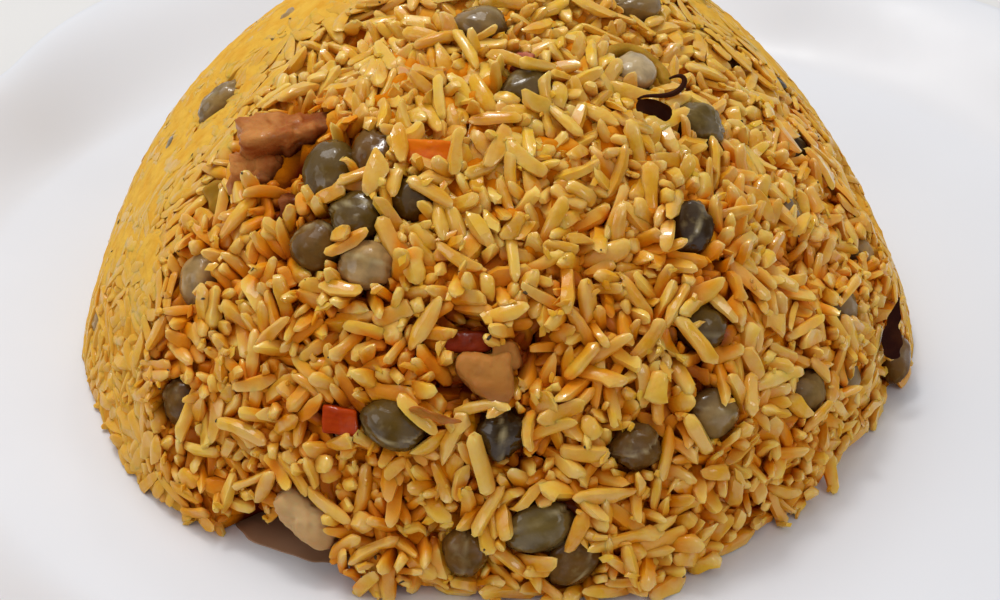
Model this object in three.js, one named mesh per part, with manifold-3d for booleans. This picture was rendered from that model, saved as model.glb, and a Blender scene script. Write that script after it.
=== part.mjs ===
// A plate of arroz con gandules: a moulded dome of yellow rice with pigeon peas, bits of ham, pork,
// carrot, olive and herb leaf, turned out on a white dinner plate with a softly scalloped rim.
//
// Millimetres, +Z up. The origin is the middle of the plate's foot ring, on the table. +X is the
// diner's right and +Y points away from the diner, who sees the loose, broken side of the dome.

import * as THREE from 'three';
import { ConvexHull } from 'three/addons/math/ConvexHull.js';
import { mergeVertices } from 'three/addons/utils/BufferGeometryUtils.js';
import Module from 'manifold-3d';

// Plate.
const PLATE_REACH = 127;        // middle to the crest of a lobe
const PLATE_HEIGHT = 18;
const LOBES = 8;
const LOBE_DEPTH = 12;          // how far the rim draws in between two lobes
const LOBE_TURN = -5;           // degrees, where the first crest lies
const LOBE_STEPS = 8;           // corners of the rim to each lobe
const WELL_RADIUS = 98;
const WELL_TOP = 5;
const UNDERSIDE = 2;            // height of the plate's underside inside and outside the foot ring
const RIM_DROP = 4;             // top face to underside along the rim, measured straight down
const FOOT_OUTER = 78;
const FOOT_INNER = 73;
const LOBE_ROUNDING = 0.03;     // softens the corner between two lobes

// Heap of rice.
const HEAP_X = -9;              // the heap stands off the plate's middle
const HEAP_Y = -11;
const HEAP_HEIGHT = 60.5;
const FOOT_RADII = [69, 70.5, 71, 70.5, 70, 71, 67.5, 67, 65.5, 66.5, 66, 65];  // every 30 degrees
const SHOULDERS = [-6, 1.5, 0.5, -5.5, -1, -0.5];                                    // every 60 degrees
const SHOULDER_SCALE = 64;      // radius for which the shoulder sizes are given
const REST_GAP = 0.3;           // clearance between pieces that rest on each other
const ROOM_GAP = 0.45;          // clearance that the rice leaves round what is laid in it
const DENT_MARGIN = 2.2;        // how far past a topping the rice dips

// Relief of the heap: bumps the size of a grain, deep on the loose side and shallow where pressed.
const CORNER_SPACING = 3.14;
const BUMP_SPACING = 4.6;
const BUMP_HALF_LENGTH = 4.4;
const BUMP_HALF_WIDTH = 2;
const GRAIN_DEPTH = 1;          // mean depth of the bumps' tops under the heap's skin
const LOOSE_RELIEF = 2.1;
const PRESSED_RELIEF = 1.5;
const RELIEF_MIDDLE = 0.6;      // height of a bump's rim as a share of its crown
const BUMP_SEED = 31;
const FOOT_TUCK = 0.8;          // how far the foot draws in under the grains above it
const LOWEST_RING = 0.8;        // height of the lowest corners as a share of their spacing
// The loose side faces the diner. A normal that turns towards it by these shares is still pressed
// or already loose.
const LOOSE_SIDE = new THREE.Vector3(0, -0.75, 0.66);
const STILL_PRESSED = 0.2;
const ALL_LOOSE = 0.6;
const HALF_LOOSE = 0.1;         // looseness from which the rice has its full number of corners
// Hollows in the heap: [around, up, radius, depth].
const HOLLOWS = [
  [277, 34, 7, 4],
  [262, 38, 5, 3],
  [346, 26, 6, 4.5],
  [336, 47, 4, 3],
  [243, 1, 12, 5.5],
  [292, 14, 5, 2.5],
];

// Grains of rice that stand out of the heap.
const GRAIN_COUNT = 60;
const GRAIN_LENGTH = [6.2, 7.8];
const GRAIN_WIDTH = [2.3, 2.8];
const GRAIN_SIDES = 5;
const GRAIN_CLEARANCE = 0.6;
const GRAIN_BEND = 0.5;
const GRAIN_LEAN = 10;          // degrees to either side
const GRAIN_SINK = 1.3;         // middle of the grain under the skin
const GRAIN_END = 0.3;          // share of the length from the middle to where a grain narrows
const PRESSED_SHARE = 0.12;     // share of the grains that still stand out where pressed
const GRAIN_SEED = 77;

// Food laid in the heap. Each row is [around, up, turn, length, width]: the angle around the heap
// from +X, the angle up from its foot, the turn of the long axis from level, and two sizes. The
// three groups differ in how deep the middle of the pea lies under the skin.
const PEA_DEPTHS = { proud: 2.2, half_sunk: 2.8, sunk: 3.4 };
const PEA_THICKNESS = 0.88;     // thickness as a share of the width
const PEA_TAPER = 0.1;          // how much wider one end is than the other
const PEA_COLOUR = 0x77755a;
const PEAS = {
  proud: [
    [232, 54, -60, 9.5, 7.6],
    [242.5, 49.5, 5, 8.4, 7.2],
    [247.5, 43.5, 10, 8, 6.8],
    [256.5, 24, -10, 8.8, 6.6],
    [266.5, 7.5, 85, 7.8, 6],
    [275.5, 11, 20, 9.8, 7],
    [279.5, 5.5, 55, 8.6, 6.8],
    [332, 56.5, -45, 8.2, 6.8],
    [346, 4.5, 35, 8, 6.6],
  ],
  half_sunk: [
    [150.5, 56.5, 60, 8, 6.6],
    [248, 84.5, 5, 8, 6.6],
    [25.5, 69, -75, 8.6, 7],
    [172.5, 45, -60, 8.4, 6.6],
    [171, 33, 35, 8, 6.6],
    [239.5, 58.5, -65, 7.6, 6.2],
    [237, 44, 10, 7.8, 6.8],
    [216.5, 32.5, -75, 8, 6.4],
    [333, 68, 10, 7.2, 6],
    [308, 45.5, 45, 8, 6.4],
    [271, 24, 80, 7, 6.4],
    [300.5, 21.5, -20, 7.6, 6.6],
    [288.5, 20, -5, 7.4, 6.4],
    [20, 41, -30, 7.8, 6.4],
    [96, 40, 30, 8.2, 6.8],
    [128, 18, -20, 8.4, 6.8],
    [62, 24, 70, 8, 6.6],
  ],
  sunk: [
    [251.5, 54, 10, 7.4, 6.4],
    [283.5, 72, 10, 7.6, 6.2],
    [-0.5, 39.5, -50, 8.2, 7],
    [337, 38, -30, 7.6, 6.6],
    [352.5, 21, -30, 7.6, 6.4],
    [337, 20, -60, 8.2, 7],
    [222, 15.5, 65, 7.6, 6.8],
    [302.5, 33, -20, 7.6, 6.6],
    [319, 16, -30, 7.6, 6.8],
    [330.5, 11, -10, 7.8, 6.6],
    [190, 8, 40, 7.6, 6.6],
    [18, 53.5, -60, 8, 6.6],
    [78, 55, 0, 8.2, 6.8],
    [113, 62, -45, 7.8, 6.6],
    [38, 14, 15, 8, 6.8],
    [86, 12, -70, 8.2, 6.6],
    [154, 12, 50, 8, 6.8],
  ],
};

// Lumps of meat and vegetable: [around, up, depth, turn, length, width, thickness, roundness].
// Roundness 0 is a box and 1 a ball.
const LUMPS = {
  ham_large: [211.5, 54.5, 2.8, 40, 14.4, 10.8, 7, 0.4],
  ham_small: [226.5, 48, 3.6, 5, 5.6, 4.4, 4, 0.4],
  ham_pink: [285.7, 76.8, 3, -10, 4.8, 4, 3.6, 0.4],
  pork: [268.3, 31.7, 2.4, -40, 8.6, 6.8, 5.2, 0.45],
  pork_fat: [245, 8, 2.4, -30, 11, 6.4, 6, 0.6],
  carrot_front: [249, 23, 2.4, 0, 5, 3.8, 3.4, 0.12],
  carrot_top: [253.5, 60.5, 2.6, 0, 7, 4, 3.4, 0.12],
  pimiento: [266, 37.8, 3.8, -5, 6.6, 3, 2, 0.3],
  green_pepper: [207.5, 42.5, 2.6, -45, 6.6, 3.6, 2.2, 0.3],
};
const LUMP_COLOURS = {
  ham: 0x9c5137,
  pork: 0xc28a58,
  carrot: 0xe07a1c,
  pimiento: 0x8c3418,
  green: 0x9a9440,
};

const FINE_LUMP = 9;            // length from which a lump has more corners
const LUMP_BALL = 1.15;         // size of the ball that a lump is rounded towards
const LUMP_WOBBLE = 0.055;

// Slice of green olive, lying round a pea: [around, up, depth, turn] and its own sizes.
const OLIVE_PLACE = [333, 68, 2.2, 0];
const OLIVE_INNER = 4;
const OLIVE_OUTER = 5.8;
const OLIVE_DEPTH = 2.4;
const OLIVE_ARC = [-70, 130];   // degrees, what is left of the ring
const OLIVE_STEPS = 7;

// Leaves and a thread of onion: [around, up, depth, turn, lean, length, width, wave].
const LEAVES = {
  leaf_curled: [314, 61, -0.6, -40, 25, 7.2, 4, 0.9],
  leaf_purple: [343, 12.5, -0.8, -75, 20, 9, 4.4, 0.6],
  leaf_small: [37, 53.5, -0.8, -55, 15, 4.4, 2.4, 0.4],
  onion_thread: [262.5, 26.5, -0.3, -10, 20, 7.2, 2, 0.6],
};
const LEAF_THICKNESS = 0.6;
const LEAF_STEPS = 7;
const LEAF_TIP = 0.12;          // half width at the tips, as a share of the widest
const LEAF_END = 0.06;          // share of the outline's curve that is cut off at each tip
const LEAF_COLOUR = 0x2c1c1a;
const ONION_COLOUR = 0xb58a3a;

const wasm = await Module();
wasm.setup();

// Small pieces of arithmetic -----------------------------------------------------------------

function seededRandom(seed) {
  let state = seed;
  return () => {
    state = (state + 0x6d2b79f5) | 0;
    let mixed = Math.imul(state ^ (state >>> 15), 1 | state);
    mixed = (mixed + Math.imul(mixed ^ (mixed >>> 7), 61 | mixed)) ^ mixed;
    return ((mixed ^ (mixed >>> 14)) >>> 0) / 4294967296;
  };
}

function between(random, range) {
  return range[0] + (range[1] - range[0]) * random();
}

// A value round the heap, eased between sizes given at equal steps of angle.
function aroundTheHeap(sizes, degrees) {
  const place = (((degrees % 360) + 360) % 360) / 360 * sizes.length;
  const first = Math.floor(place) % sizes.length;
  const blend = (1 - Math.cos(Math.PI * (place - Math.floor(place)))) / 2;
  return sizes[first] * (1 - blend) + sizes[(first + 1) % sizes.length] * blend;
}

// Points spread evenly over the dome: [around, up] in degrees, by the golden angle.
function evenPoints(count, lowest) {
  const goldenAngle = 180 * (3 - Math.sqrt(5));
  const floor = Math.sin(THREE.MathUtils.degToRad(lowest));
  return Array.from({ length: count }, (_, i) => {
    const height = 1 - (1 - floor) * (i + 0.5) / count;
    return [(i * goldenAngle) % 360, THREE.MathUtils.radToDeg(Math.asin(height))];
  });
}

// The skin of the heap -----------------------------------------------------------------------

// The smooth outer form: an ellipsoid whose foot and shoulders change round the heap.
function skin(around, up) {
  const a = THREE.MathUtils.degToRad(around);
  const u = THREE.MathUtils.degToRad(up);
  const foot = aroundTheHeap(FOOT_RADII, around);
  const swell = 1 + aroundTheHeap(SHOULDERS, around) / SHOULDER_SCALE * Math.sin(2 * u);
  const reach = foot * Math.cos(u) * swell;
  const point = new THREE.Vector3(
    reach * Math.cos(a), reach * Math.sin(a), HEAP_HEIGHT * Math.sin(u) * swell);
  const normal = new THREE.Vector3(
    Math.cos(u) * Math.cos(a) / foot, Math.cos(u) * Math.sin(a) / foot,
    Math.sin(u) / HEAP_HEIGHT).normalize();
  const level = new THREE.Vector3(-Math.sin(a), Math.cos(a), 0);
  const rise = new THREE.Vector3().crossVectors(normal, level);
  return { point, normal, level, rise };
}

// Lay a piece in the heap, its x axis turned from level and its z axis pointing out.
function lay(object, around, up, depth, turn, lean = 0) {
  const { point, normal, level, rise } = skin(around, up);
  const angle = THREE.MathUtils.degToRad(turn);
  const long = level.multiplyScalar(Math.cos(angle)).addScaledVector(rise, Math.sin(angle));
  const out = normal.clone().applyAxisAngle(long, THREE.MathUtils.degToRad(lean));
  const wide = new THREE.Vector3().crossVectors(out, long);
  object.quaternion.setFromRotationMatrix(new THREE.Matrix4().makeBasis(long, wide, out));
  object.position.copy(point).addScaledVector(normal, -depth);
}

function looseness(normal) {
  return THREE.MathUtils.smoothstep(normal.dot(LOOSE_SIDE), STILL_PRESSED, ALL_LOOSE);
}

function hollowDepth(point) {
  let depth = 0;
  for (const [around, up, radius, deepest] of HOLLOWS) {
    const distance = skin(around, up).point.distanceTo(point) / radius;
    if (distance < 1) {
      depth = Math.max(depth, deepest * (1 - distance * distance));
    }
  }
  return depth;
}

// Long bumps where grains lie under the surface.
function lyingBumps() {
  const random = seededRandom(BUMP_SEED);
  const radius = FOOT_RADII[0];
  const count = Math.round(2 * Math.PI * radius * radius / (BUMP_SPACING * BUMP_SPACING));
  return evenPoints(count, 0).map(([around, up]) => {
    const { point, level, rise } = skin(around + 4 * random(), up);
    const turn = Math.PI * random();
    const along = level.multiplyScalar(Math.cos(turn)).addScaledVector(rise, Math.sin(turn));
    return { point, along };
  });
}

// How deep the loose rice dips to pass under the toppings: where a line along the normal leaves
// the ellipsoid that fills the topping's box. Where it is pressed it fits round them.
function dentDepth(point, normal, rooms) {
  let depth = 0;
  for (const { room, half } of rooms.filter(({ loose }) => loose)) {
    const start = room.worldToLocal(point.clone()).divide(half);
    const turnBack = room.quaternion.clone().invert();
    const inward = normal.clone().negate().applyQuaternion(turnBack).divide(half);
    const a = inward.lengthSq();
    const b = start.dot(inward);
    const c = start.lengthSq() - 1;
    if (b * b > a * c) {
      depth = Math.max(depth, (Math.sqrt(b * b - a * c) - b) / a);
    }
  }
  return depth;
}

// How far the surface lies under the skin at a point: grain bumps, hollows and dents.
function reliefDepth(point, normal, bumps, rooms) {
  let crown = 0;
  for (const bump of bumps) {
    const offset = new THREE.Vector3().subVectors(point, bump.point);
    if (offset.lengthSq() < BUMP_HALF_LENGTH * BUMP_HALF_LENGTH) {
      const along = offset.dot(bump.along);
      const across = Math.sqrt(Math.max(offset.lengthSq() - along * along, 0));
      const spread = (along / BUMP_HALF_LENGTH) ** 2 + (across / BUMP_HALF_WIDTH) ** 2;
      crown = Math.max(crown, 1 - spread);
    }
  }
  const relief = THREE.MathUtils.lerp(PRESSED_RELIEF, LOOSE_RELIEF, looseness(normal));
  const dent = dentDepth(point, normal, rooms);
  const bumpy = GRAIN_DEPTH + relief * (RELIEF_MIDDLE - Math.sqrt(crown));
  return Math.max(bumpy + hollowDepth(point), dent);
}

// Closed meshes ------------------------------------------------------------------------------

function facets(corners, triangles) {
  const geometry = new THREE.BufferGeometry();
  geometry.setAttribute('position', new THREE.Float32BufferAttribute(corners.flat(), 3));
  geometry.setIndex(triangles.flat());
  return geometry;
}

// A stack of closed rings, each with as many corners, joined from a first pole to a last one.
function ringedBody(firstPole, rings, lastPole) {
  const sides = rings[0].length;
  const corners = [firstPole, ...rings.flat(), lastPole];
  const triangles = [];
  const corner = (ring, side) => 1 + ring * sides + (side % sides);
  for (let side = 0; side < sides; side += 1) {
    triangles.push([0, corner(0, side), corner(0, side + 1)]);
    for (let ring = 0; ring + 1 < rings.length; ring += 1) {
      const [a, b] = [corner(ring, side), corner(ring, side + 1)];
      const [c, d] = [corner(ring + 1, side), corner(ring + 1, side + 1)];
      triangles.push([a, c, d], [a, d, b]);
    }
    const last = rings.length - 1;
    triangles.push([corners.length - 1, corner(last, side + 1), corner(last, side)]);
  }
  return facets(corners, triangles);
}

function toSolid(geometry) {
  const bare = geometry.clone();
  bare.deleteAttribute('normal');
  bare.deleteAttribute('uv');
  const merged = mergeVertices(bare, 1e-4);
  return new wasm.Manifold(new wasm.Mesh({
    numProp: 3,
    vertProperties: new Float32Array(merged.attributes.position.array),
    triVerts: new Uint32Array(merged.index.array),
  }));
}

function toGeometry(solid) {
  const mesh = solid.getMesh();
  const geometry = new THREE.BufferGeometry();
  geometry.setAttribute('position', new THREE.BufferAttribute(mesh.vertProperties, 3));
  geometry.setIndex(new THREE.BufferAttribute(mesh.triVerts, 1));
  return geometry;
}

function piece(name, geometry, material) {
  geometry.computeVertexNormals();
  const mesh = new THREE.Mesh(geometry, material);
  mesh.name = name;
  return mesh;
}

function matter(color, roughness) {
  return new THREE.MeshStandardMaterial({ color, roughness, metalness: 0 });
}

// The plate ----------------------------------------------------------------------------------

function rimReach(degrees) {
  const wave = Math.cos(THREE.MathUtils.degToRad((degrees - LOBE_TURN) * LOBES / 2));
  const softWave = Math.sqrt(wave * wave + LOBE_ROUNDING) / Math.sqrt(1 + LOBE_ROUNDING);
  return PLATE_REACH - LOBE_DEPTH * (1 - softWave);
}

// One ring of the plate. Beyond the well the radius is a share of the way out to the rim's edge.
function plateRing(radius, share, height) {
  const steps = LOBES * LOBE_STEPS;
  return Array.from({ length: steps }, (_, i) => {
    const degrees = LOBE_TURN + 360 * i / steps;
    const angle = THREE.MathUtils.degToRad(degrees);
    const reach = radius + (rimReach(degrees) - radius) * share;
    return [reach * Math.cos(angle), reach * Math.sin(angle), height];
  });
}

function plateGeometry() {
  const rimRise = PLATE_HEIGHT - WELL_TOP;
  const rimHeight = (share) => WELL_TOP + rimRise * THREE.MathUtils.smoothstep(share, 0, 1);
  const top = [0, 0.35, 0.7, 0.96].map((share) => plateRing(WELL_RADIUS, share, rimHeight(share)));
  const lip = [
    plateRing(WELL_RADIUS, 1, PLATE_HEIGHT - 0.8),
    plateRing(WELL_RADIUS, 0.985, PLATE_HEIGHT - 2.8),
  ];
  const base = [
    plateRing(WELL_RADIUS, 0.65, rimHeight(0.65) - RIM_DROP),
    plateRing(WELL_RADIUS, 0.1, UNDERSIDE + 0.4),
    plateRing(FOOT_OUTER + 1, 0, UNDERSIDE),
    plateRing(FOOT_OUTER, 0, 0),
    plateRing(FOOT_INNER, 0, 0),
    plateRing(FOOT_INNER - 1, 0, UNDERSIDE),
  ];
  return ringedBody([0, 0, WELL_TOP], [...top, ...lip, ...base], [0, 0, UNDERSIDE]);
}

// Food laid in the heap ----------------------------------------------------------------------

// A pea: an egg-shaped seed, a little flatter on the side where it was joined to its pod.
function peaGeometry(length, width, grow = 0) {
  const geometry = new THREE.SphereGeometry(1, 6, 4);
  geometry.rotateZ(Math.PI / 2);
  const corners = geometry.attributes.position;
  for (let i = 0; i < corners.count; i += 1) {
    const x = corners.getX(i);
    const taper = 1 + PEA_TAPER * x;
    corners.setX(i, x * (length / 2 + grow));
    corners.setY(i, corners.getY(i) * taper * (width / 2 + grow));
    corners.setZ(i, corners.getZ(i) * taper * (width * PEA_THICKNESS / 2 + grow));
  }
  return geometry;
}

// A cut lump: a box pulled part of the way to a ball, with its corners moved a little.
function lumpGeometry(length, width, thickness, roundness, grow = 0) {
  const parts = length > FINE_LUMP ? 3 : 2;
  const geometry = new THREE.BoxGeometry(2, 2, 2, parts, parts, parts);
  const corners = geometry.attributes.position;
  const corner = new THREE.Vector3();
  for (let i = 0; i < corners.count; i += 1) {
    corner.fromBufferAttribute(corners, i);
    const ball = corner.clone().normalize().multiplyScalar(LUMP_BALL);
    const wave = Math.sin(5 * corner.x + 3 * corner.y) + Math.cos(4 * corner.z - 3 * corner.x);
    corner.lerp(ball, roundness).multiplyScalar(1 + LUMP_WOBBLE * wave);
    corners.setXYZ(i, corner.x * (length / 2 + grow), corner.y * (width / 2 + grow),
      corner.z * (thickness / 2 + grow));
  }
  return geometry;
}

// A leaf: a thin blade of even thickness, waved along its length and cupped across it.
function leafGeometry(length, width, wave, grow = 0) {
  const steps = LEAF_STEPS;
  const across = [-1, 0, 1];
  const face = (side) => Array.from({ length: steps + 1 }, (_, i) => {
    const t = i / steps;
    const bulge = Math.sin(Math.PI * THREE.MathUtils.lerp(LEAF_END, 1 - LEAF_END, t));
    const half = (width / 2) * THREE.MathUtils.lerp(LEAF_TIP, 1, bulge) + grow;
    return across.map((v) => [
      (t - 0.5) * (length + 2 * grow), v * half,
      wave * (Math.sin(7 * t) + v * v) + side * (LEAF_THICKNESS / 2 + grow),
    ]);
  });
  const columns = across.length;
  const bottom = (steps + 1) * columns;
  const at = (row, column) => row * columns + column;
  const triangles = [];
  for (let row = 0; row < steps; row += 1) {
    for (let column = 0; column + 1 < columns; column += 1) {
      const [a, b] = [at(row, column), at(row + 1, column)];
      const [c, d] = [at(row + 1, column + 1), at(row, column + 1)];
      triangles.push([a, b, c], [a, c, d]);
      triangles.push([bottom + a, bottom + c, bottom + b], [bottom + a, bottom + d, bottom + c]);
    }
  }
  const rows = [...Array(steps).keys()];
  const middles = [...Array(columns - 1).keys()];
  const edge = [
    ...rows.map((row) => at(row, 0)),
    ...middles.map((column) => at(steps, column)),
    ...rows.map((row) => at(steps - row, columns - 1)),
    ...middles.map((column) => at(0, columns - 1 - column)),
  ];
  edge.forEach((a, i) => {
    const b = edge[(i + 1) % edge.length];
    triangles.push([a, bottom + a, bottom + b], [a, bottom + b, b]);
  });
  return facets([...face(1).flat(), ...face(-1).flat()], triangles);
}

// Part of a ring cut from a green olive.
function oliveGeometry(grow = 0) {
  const [start, end] = OLIVE_ARC.map(THREE.MathUtils.degToRad);
  const slack = grow / OLIVE_OUTER;
  const outline = new THREE.Shape();
  outline.absarc(0, 0, OLIVE_OUTER + grow, start - slack, end + slack, false);
  outline.absarc(0, 0, OLIVE_INNER - grow, end + slack, start - slack, true);
  const options = { depth: OLIVE_DEPTH + 2 * grow, bevelEnabled: false, curveSegments: OLIVE_STEPS };
  return new THREE.ExtrudeGeometry(outline, options).translate(0, 0, -OLIVE_DEPTH / 2 - grow);
}

function lumpMaterial(name) {
  const kind = Object.keys(LUMP_COLOURS).find((word) => name.includes(word));
  return matter(LUMP_COLOURS[kind], 0.45);
}

// Every topping twice: the piece itself, and the slightly larger room that the rice leaves it.
function toppings() {
  const made = [];
  const add = (name, material, shape, around, up, depth, turn, lean) => {
    const mesh = piece(name, shape(0), material);
    const room = new THREE.Mesh(shape(ROOM_GAP));
    lay(mesh, around, up, depth, turn, lean);
    lay(room, around, up, depth, turn, lean);
    made.push({ mesh, room });
  };
  let number = 0;
  for (const [seat, rows] of Object.entries(PEAS)) {
    for (const [around, up, turn, length, width] of rows) {
      number += 1;
      const name = `pigeon_pea_${String(number).padStart(2, '0')}`;
      const shape = (grow) => peaGeometry(length, width, grow);
      add(name, matter(PEA_COLOUR, 0.35), shape, around, up, PEA_DEPTHS[seat], turn);
    }
  }
  for (const [name, row] of Object.entries(LUMPS)) {
    const [around, up, depth, turn, ...sizes] = row;
    const shape = (grow) => lumpGeometry(...sizes, grow);
    add(name, lumpMaterial(name), shape, around, up, depth, turn);
  }
  for (const [name, row] of Object.entries(LEAVES)) {
    const [around, up, depth, turn, lean, ...sizes] = row;
    const shape = (grow) => leafGeometry(...sizes, grow);
    const colour = name.startsWith('leaf') ? LEAF_COLOUR : ONION_COLOUR;
    add(name, matter(colour, 0.5), shape, around, up, depth, turn, lean);
  }
  add('olive_slice', matter(LUMP_COLOURS.green, 0.35), oliveGeometry, ...OLIVE_PLACE);
  return made;
}

// The rice -----------------------------------------------------------------------------------

// The heap's own body: corners spread evenly over the dome and round its foot, sunk under the skin
// by the relief, and joined as the hull of the same corners on a ball. Where the rice is pressed
// it has half as many.
function heapBody(rooms) {
  const bumps = lyingBumps();
  const radius = FOOT_RADII[0];
  const onBall = [];
  const corners = [];
  const add = (direction, point) => {
    direction.index = corners.length;
    onBall.push(direction);
    corners.push(point);
  };
  const lowest = THREE.MathUtils.radToDeg(CORNER_SPACING / radius) * LOWEST_RING;
  const cell = CORNER_SPACING * CORNER_SPACING * Math.sqrt(3) / 2;
  const count = Math.round(2 * Math.PI * radius * radius / cell);
  evenPoints(count, lowest).forEach(([around, up], i) => {
    const { point, normal } = skin(around, up);
    if (looseness(normal) > HALF_LOOSE || i % 2 === 0) {
      const depth = reliefDepth(point, normal, bumps, rooms);
      const [a, u] = [around, up].map(THREE.MathUtils.degToRad);
      const flat = Math.cos(u);
      const direction = new THREE.Vector3(flat * Math.cos(a), flat * Math.sin(a), Math.sin(u));
      add(direction, point.addScaledVector(normal, -depth));
    }
  });
  const footSteps = Math.round(2 * Math.PI * radius / CORNER_SPACING);
  for (let i = 0; i < footSteps; i += 1) {
    const around = 360 * i / footSteps;
    const { point, normal } = skin(around, 0);
    const angle = THREE.MathUtils.degToRad(around);
    const direction = new THREE.Vector3(Math.cos(angle), Math.sin(angle), 0);
    const depth = reliefDepth(point, normal, bumps, rooms) + FOOT_TUCK;
    add(direction, point.addScaledVector(normal, -depth).setZ(0));
  }
  add(new THREE.Vector3(0, 0, -1), new THREE.Vector3(0, 0, 0));
  const hull = new ConvexHull().setFromPoints(onBall);
  const triangles = hull.faces.map((face) => [0, 1, 2].map((i) => face.getEdge(i).head().point.index));
  return facets(corners.map((point) => point.toArray()), triangles);
}

// One boiled grain: a bent rod with rounded ends.
function grainGeometry(length, width, bend) {
  const rings = [-GRAIN_END, GRAIN_END].map((share) => Array.from({ length: GRAIN_SIDES }, (_, i) => {
    const angle = -2 * Math.PI * i / GRAIN_SIDES;
    return [share * length, (width / 2) * Math.cos(angle), (width / 2) * Math.sin(angle)];
  }));
  return ringedBody([-length / 2, 0, -bend], rings, [length / 2, 0, -bend]);
}

// True where a grain would come too near a topping: its ends and middle against the topping's box.
function crowds(grain, length, width, rooms) {
  const near = width / 2 + GRAIN_CLEARANCE;
  return [-0.5, -0.25, 0, 0.25, 0.5].some((share) => {
    const spot = grain.localToWorld(new THREE.Vector3(share * (length - width), 0, 0));
    return rooms.some(({ room, box }) => {
      const inside = room.worldToLocal(spot.clone());
      return box.clone().expandByScalar(near).containsPoint(inside);
    });
  });
}

// Whole grains that stand out of the heap, spread evenly over its loose side and thinly elsewhere.
function standingGrains(rooms) {
  const random = seededRandom(GRAIN_SEED);
  const grains = [];
  for (const [around, up] of evenPoints(GRAIN_COUNT * 3, 3)) {
    const { normal, point } = skin(around, up);
    const length = between(random, GRAIN_LENGTH);
    const width = between(random, GRAIN_WIDTH);
    const turn = 180 * random();
    const lean = between(random, [-GRAIN_LEAN, GRAIN_LEAN]);
    const grain = new THREE.Mesh(grainGeometry(length, width, GRAIN_BEND * random()));
    const chance = THREE.MathUtils.lerp(PRESSED_SHARE, 1, looseness(normal));
    lay(grain, around, up, GRAIN_SINK + hollowDepth(point), turn, lean);
    grain.updateMatrixWorld();
    const wanted = random() < chance && grains.length < GRAIN_COUNT;
    const high = grain.position.z > length / 2 + GRAIN_CLEARANCE;
    if (wanted && high && !crowds(grain, length, width, rooms)) {
      grains.push(toSolid(grain.geometry.clone().applyMatrix4(grain.matrixWorld)));
    }
  }
  return grains;
}

function riceGeometry(made) {
  const rooms = made.map(({ room }) => {
    room.updateMatrixWorld();
    room.geometry.computeBoundingBox();
    const box = room.geometry.boundingBox;
    const half = box.getSize(new THREE.Vector3()).multiplyScalar(0.5).addScalar(DENT_MARGIN - ROOM_GAP);
    const outward = new THREE.Vector3(0, 0, 1).applyQuaternion(room.quaternion);
    const loose = looseness(outward) > HALF_LOOSE;
    return { room, box, half, loose };
  });
  const spaces = rooms.map(({ room }) => toSolid(room.geometry.clone().applyMatrix4(room.matrixWorld)));
  let heap = toSolid(heapBody(rooms));
  for (const grain of standingGrains(rooms)) {
    heap = heap.add(grain);
  }
  for (const space of spaces) {
    heap = heap.subtract(space);
  }
  const bodies = heap.decompose().sort((a, b) => b.volume() - a.volume());
  return toGeometry(bodies[0]);
}

// The whole ----------------------------------------------------------------------------------

const dish = new THREE.Group();
dish.add(piece('plate', plateGeometry(), matter(0xe6e5e8, 0.25)));

const helping = new THREE.Group();
helping.position.set(HEAP_X, HEAP_Y, WELL_TOP + REST_GAP);
const laid = toppings();
helping.add(piece('rice_heap', riceGeometry(laid), matter(0xdda243, 0.4)));
for (const { mesh } of laid) {
  helping.add(mesh);
}
dish.add(helping);

export default dish;
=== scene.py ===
# A helping of arroz con gandules: a dome of yellow rice with pigeon peas, bits of ham, pork, carrot,
# olive and herb leaf, turned out of a bowl onto a white dinner plate with a softly scalloped rim.

import bpy
import numpy as np
from mathutils import Matrix, Vector


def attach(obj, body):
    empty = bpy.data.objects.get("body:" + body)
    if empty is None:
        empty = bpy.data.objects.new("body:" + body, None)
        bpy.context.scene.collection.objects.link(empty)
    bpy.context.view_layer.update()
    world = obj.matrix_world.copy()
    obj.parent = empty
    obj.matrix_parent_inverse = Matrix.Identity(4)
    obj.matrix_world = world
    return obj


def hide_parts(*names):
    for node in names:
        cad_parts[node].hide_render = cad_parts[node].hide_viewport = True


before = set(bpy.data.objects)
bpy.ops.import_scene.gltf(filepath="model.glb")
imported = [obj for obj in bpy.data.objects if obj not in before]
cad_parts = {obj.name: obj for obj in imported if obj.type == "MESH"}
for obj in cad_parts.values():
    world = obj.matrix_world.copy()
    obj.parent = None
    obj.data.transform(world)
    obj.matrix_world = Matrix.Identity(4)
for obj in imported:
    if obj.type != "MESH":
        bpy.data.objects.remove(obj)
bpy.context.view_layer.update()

# Plate --------------------------------------------------------------------------------------
# A stoneware dinner plate under a clear white glaze. It was pressed in a mould with eight soft
# lobes in its rim, and stands on a low foot ring.

PLATE_REACH = 127.0  # mm, as all sizes in this file
PLATE_HEIGHT = 18.0
LOBE_DEPTH = 12.0
LOBE_TURN = -5.0  # degrees
WELL_RADIUS = 98.0
WELL_TOP = 5.0
RIM_THICKNESS = 4.0
FOOT_RING = (73.0, 78.0)
UNDERSIDE = 2.0
PLATE_SIDES = 256


def rim_reach(degrees):
    """How far the rim's edge lies from the middle: furthest at the crest of a lobe, and drawn in
    between two lobes by a cosine that is rounded at its corner."""
    wave = np.cos(np.radians((degrees - LOBE_TURN) * 4))
    return PLATE_REACH - LOBE_DEPTH * (1 - np.sqrt((wave**2 + 0.03) / 1.03))


def rim_height(share):
    """Height of the rim's top face, eased from the well to the edge as the share goes to 1."""
    return WELL_TOP + (PLATE_HEIGHT - WELL_TOP) * share**2 * (3 - 2 * share)


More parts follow.
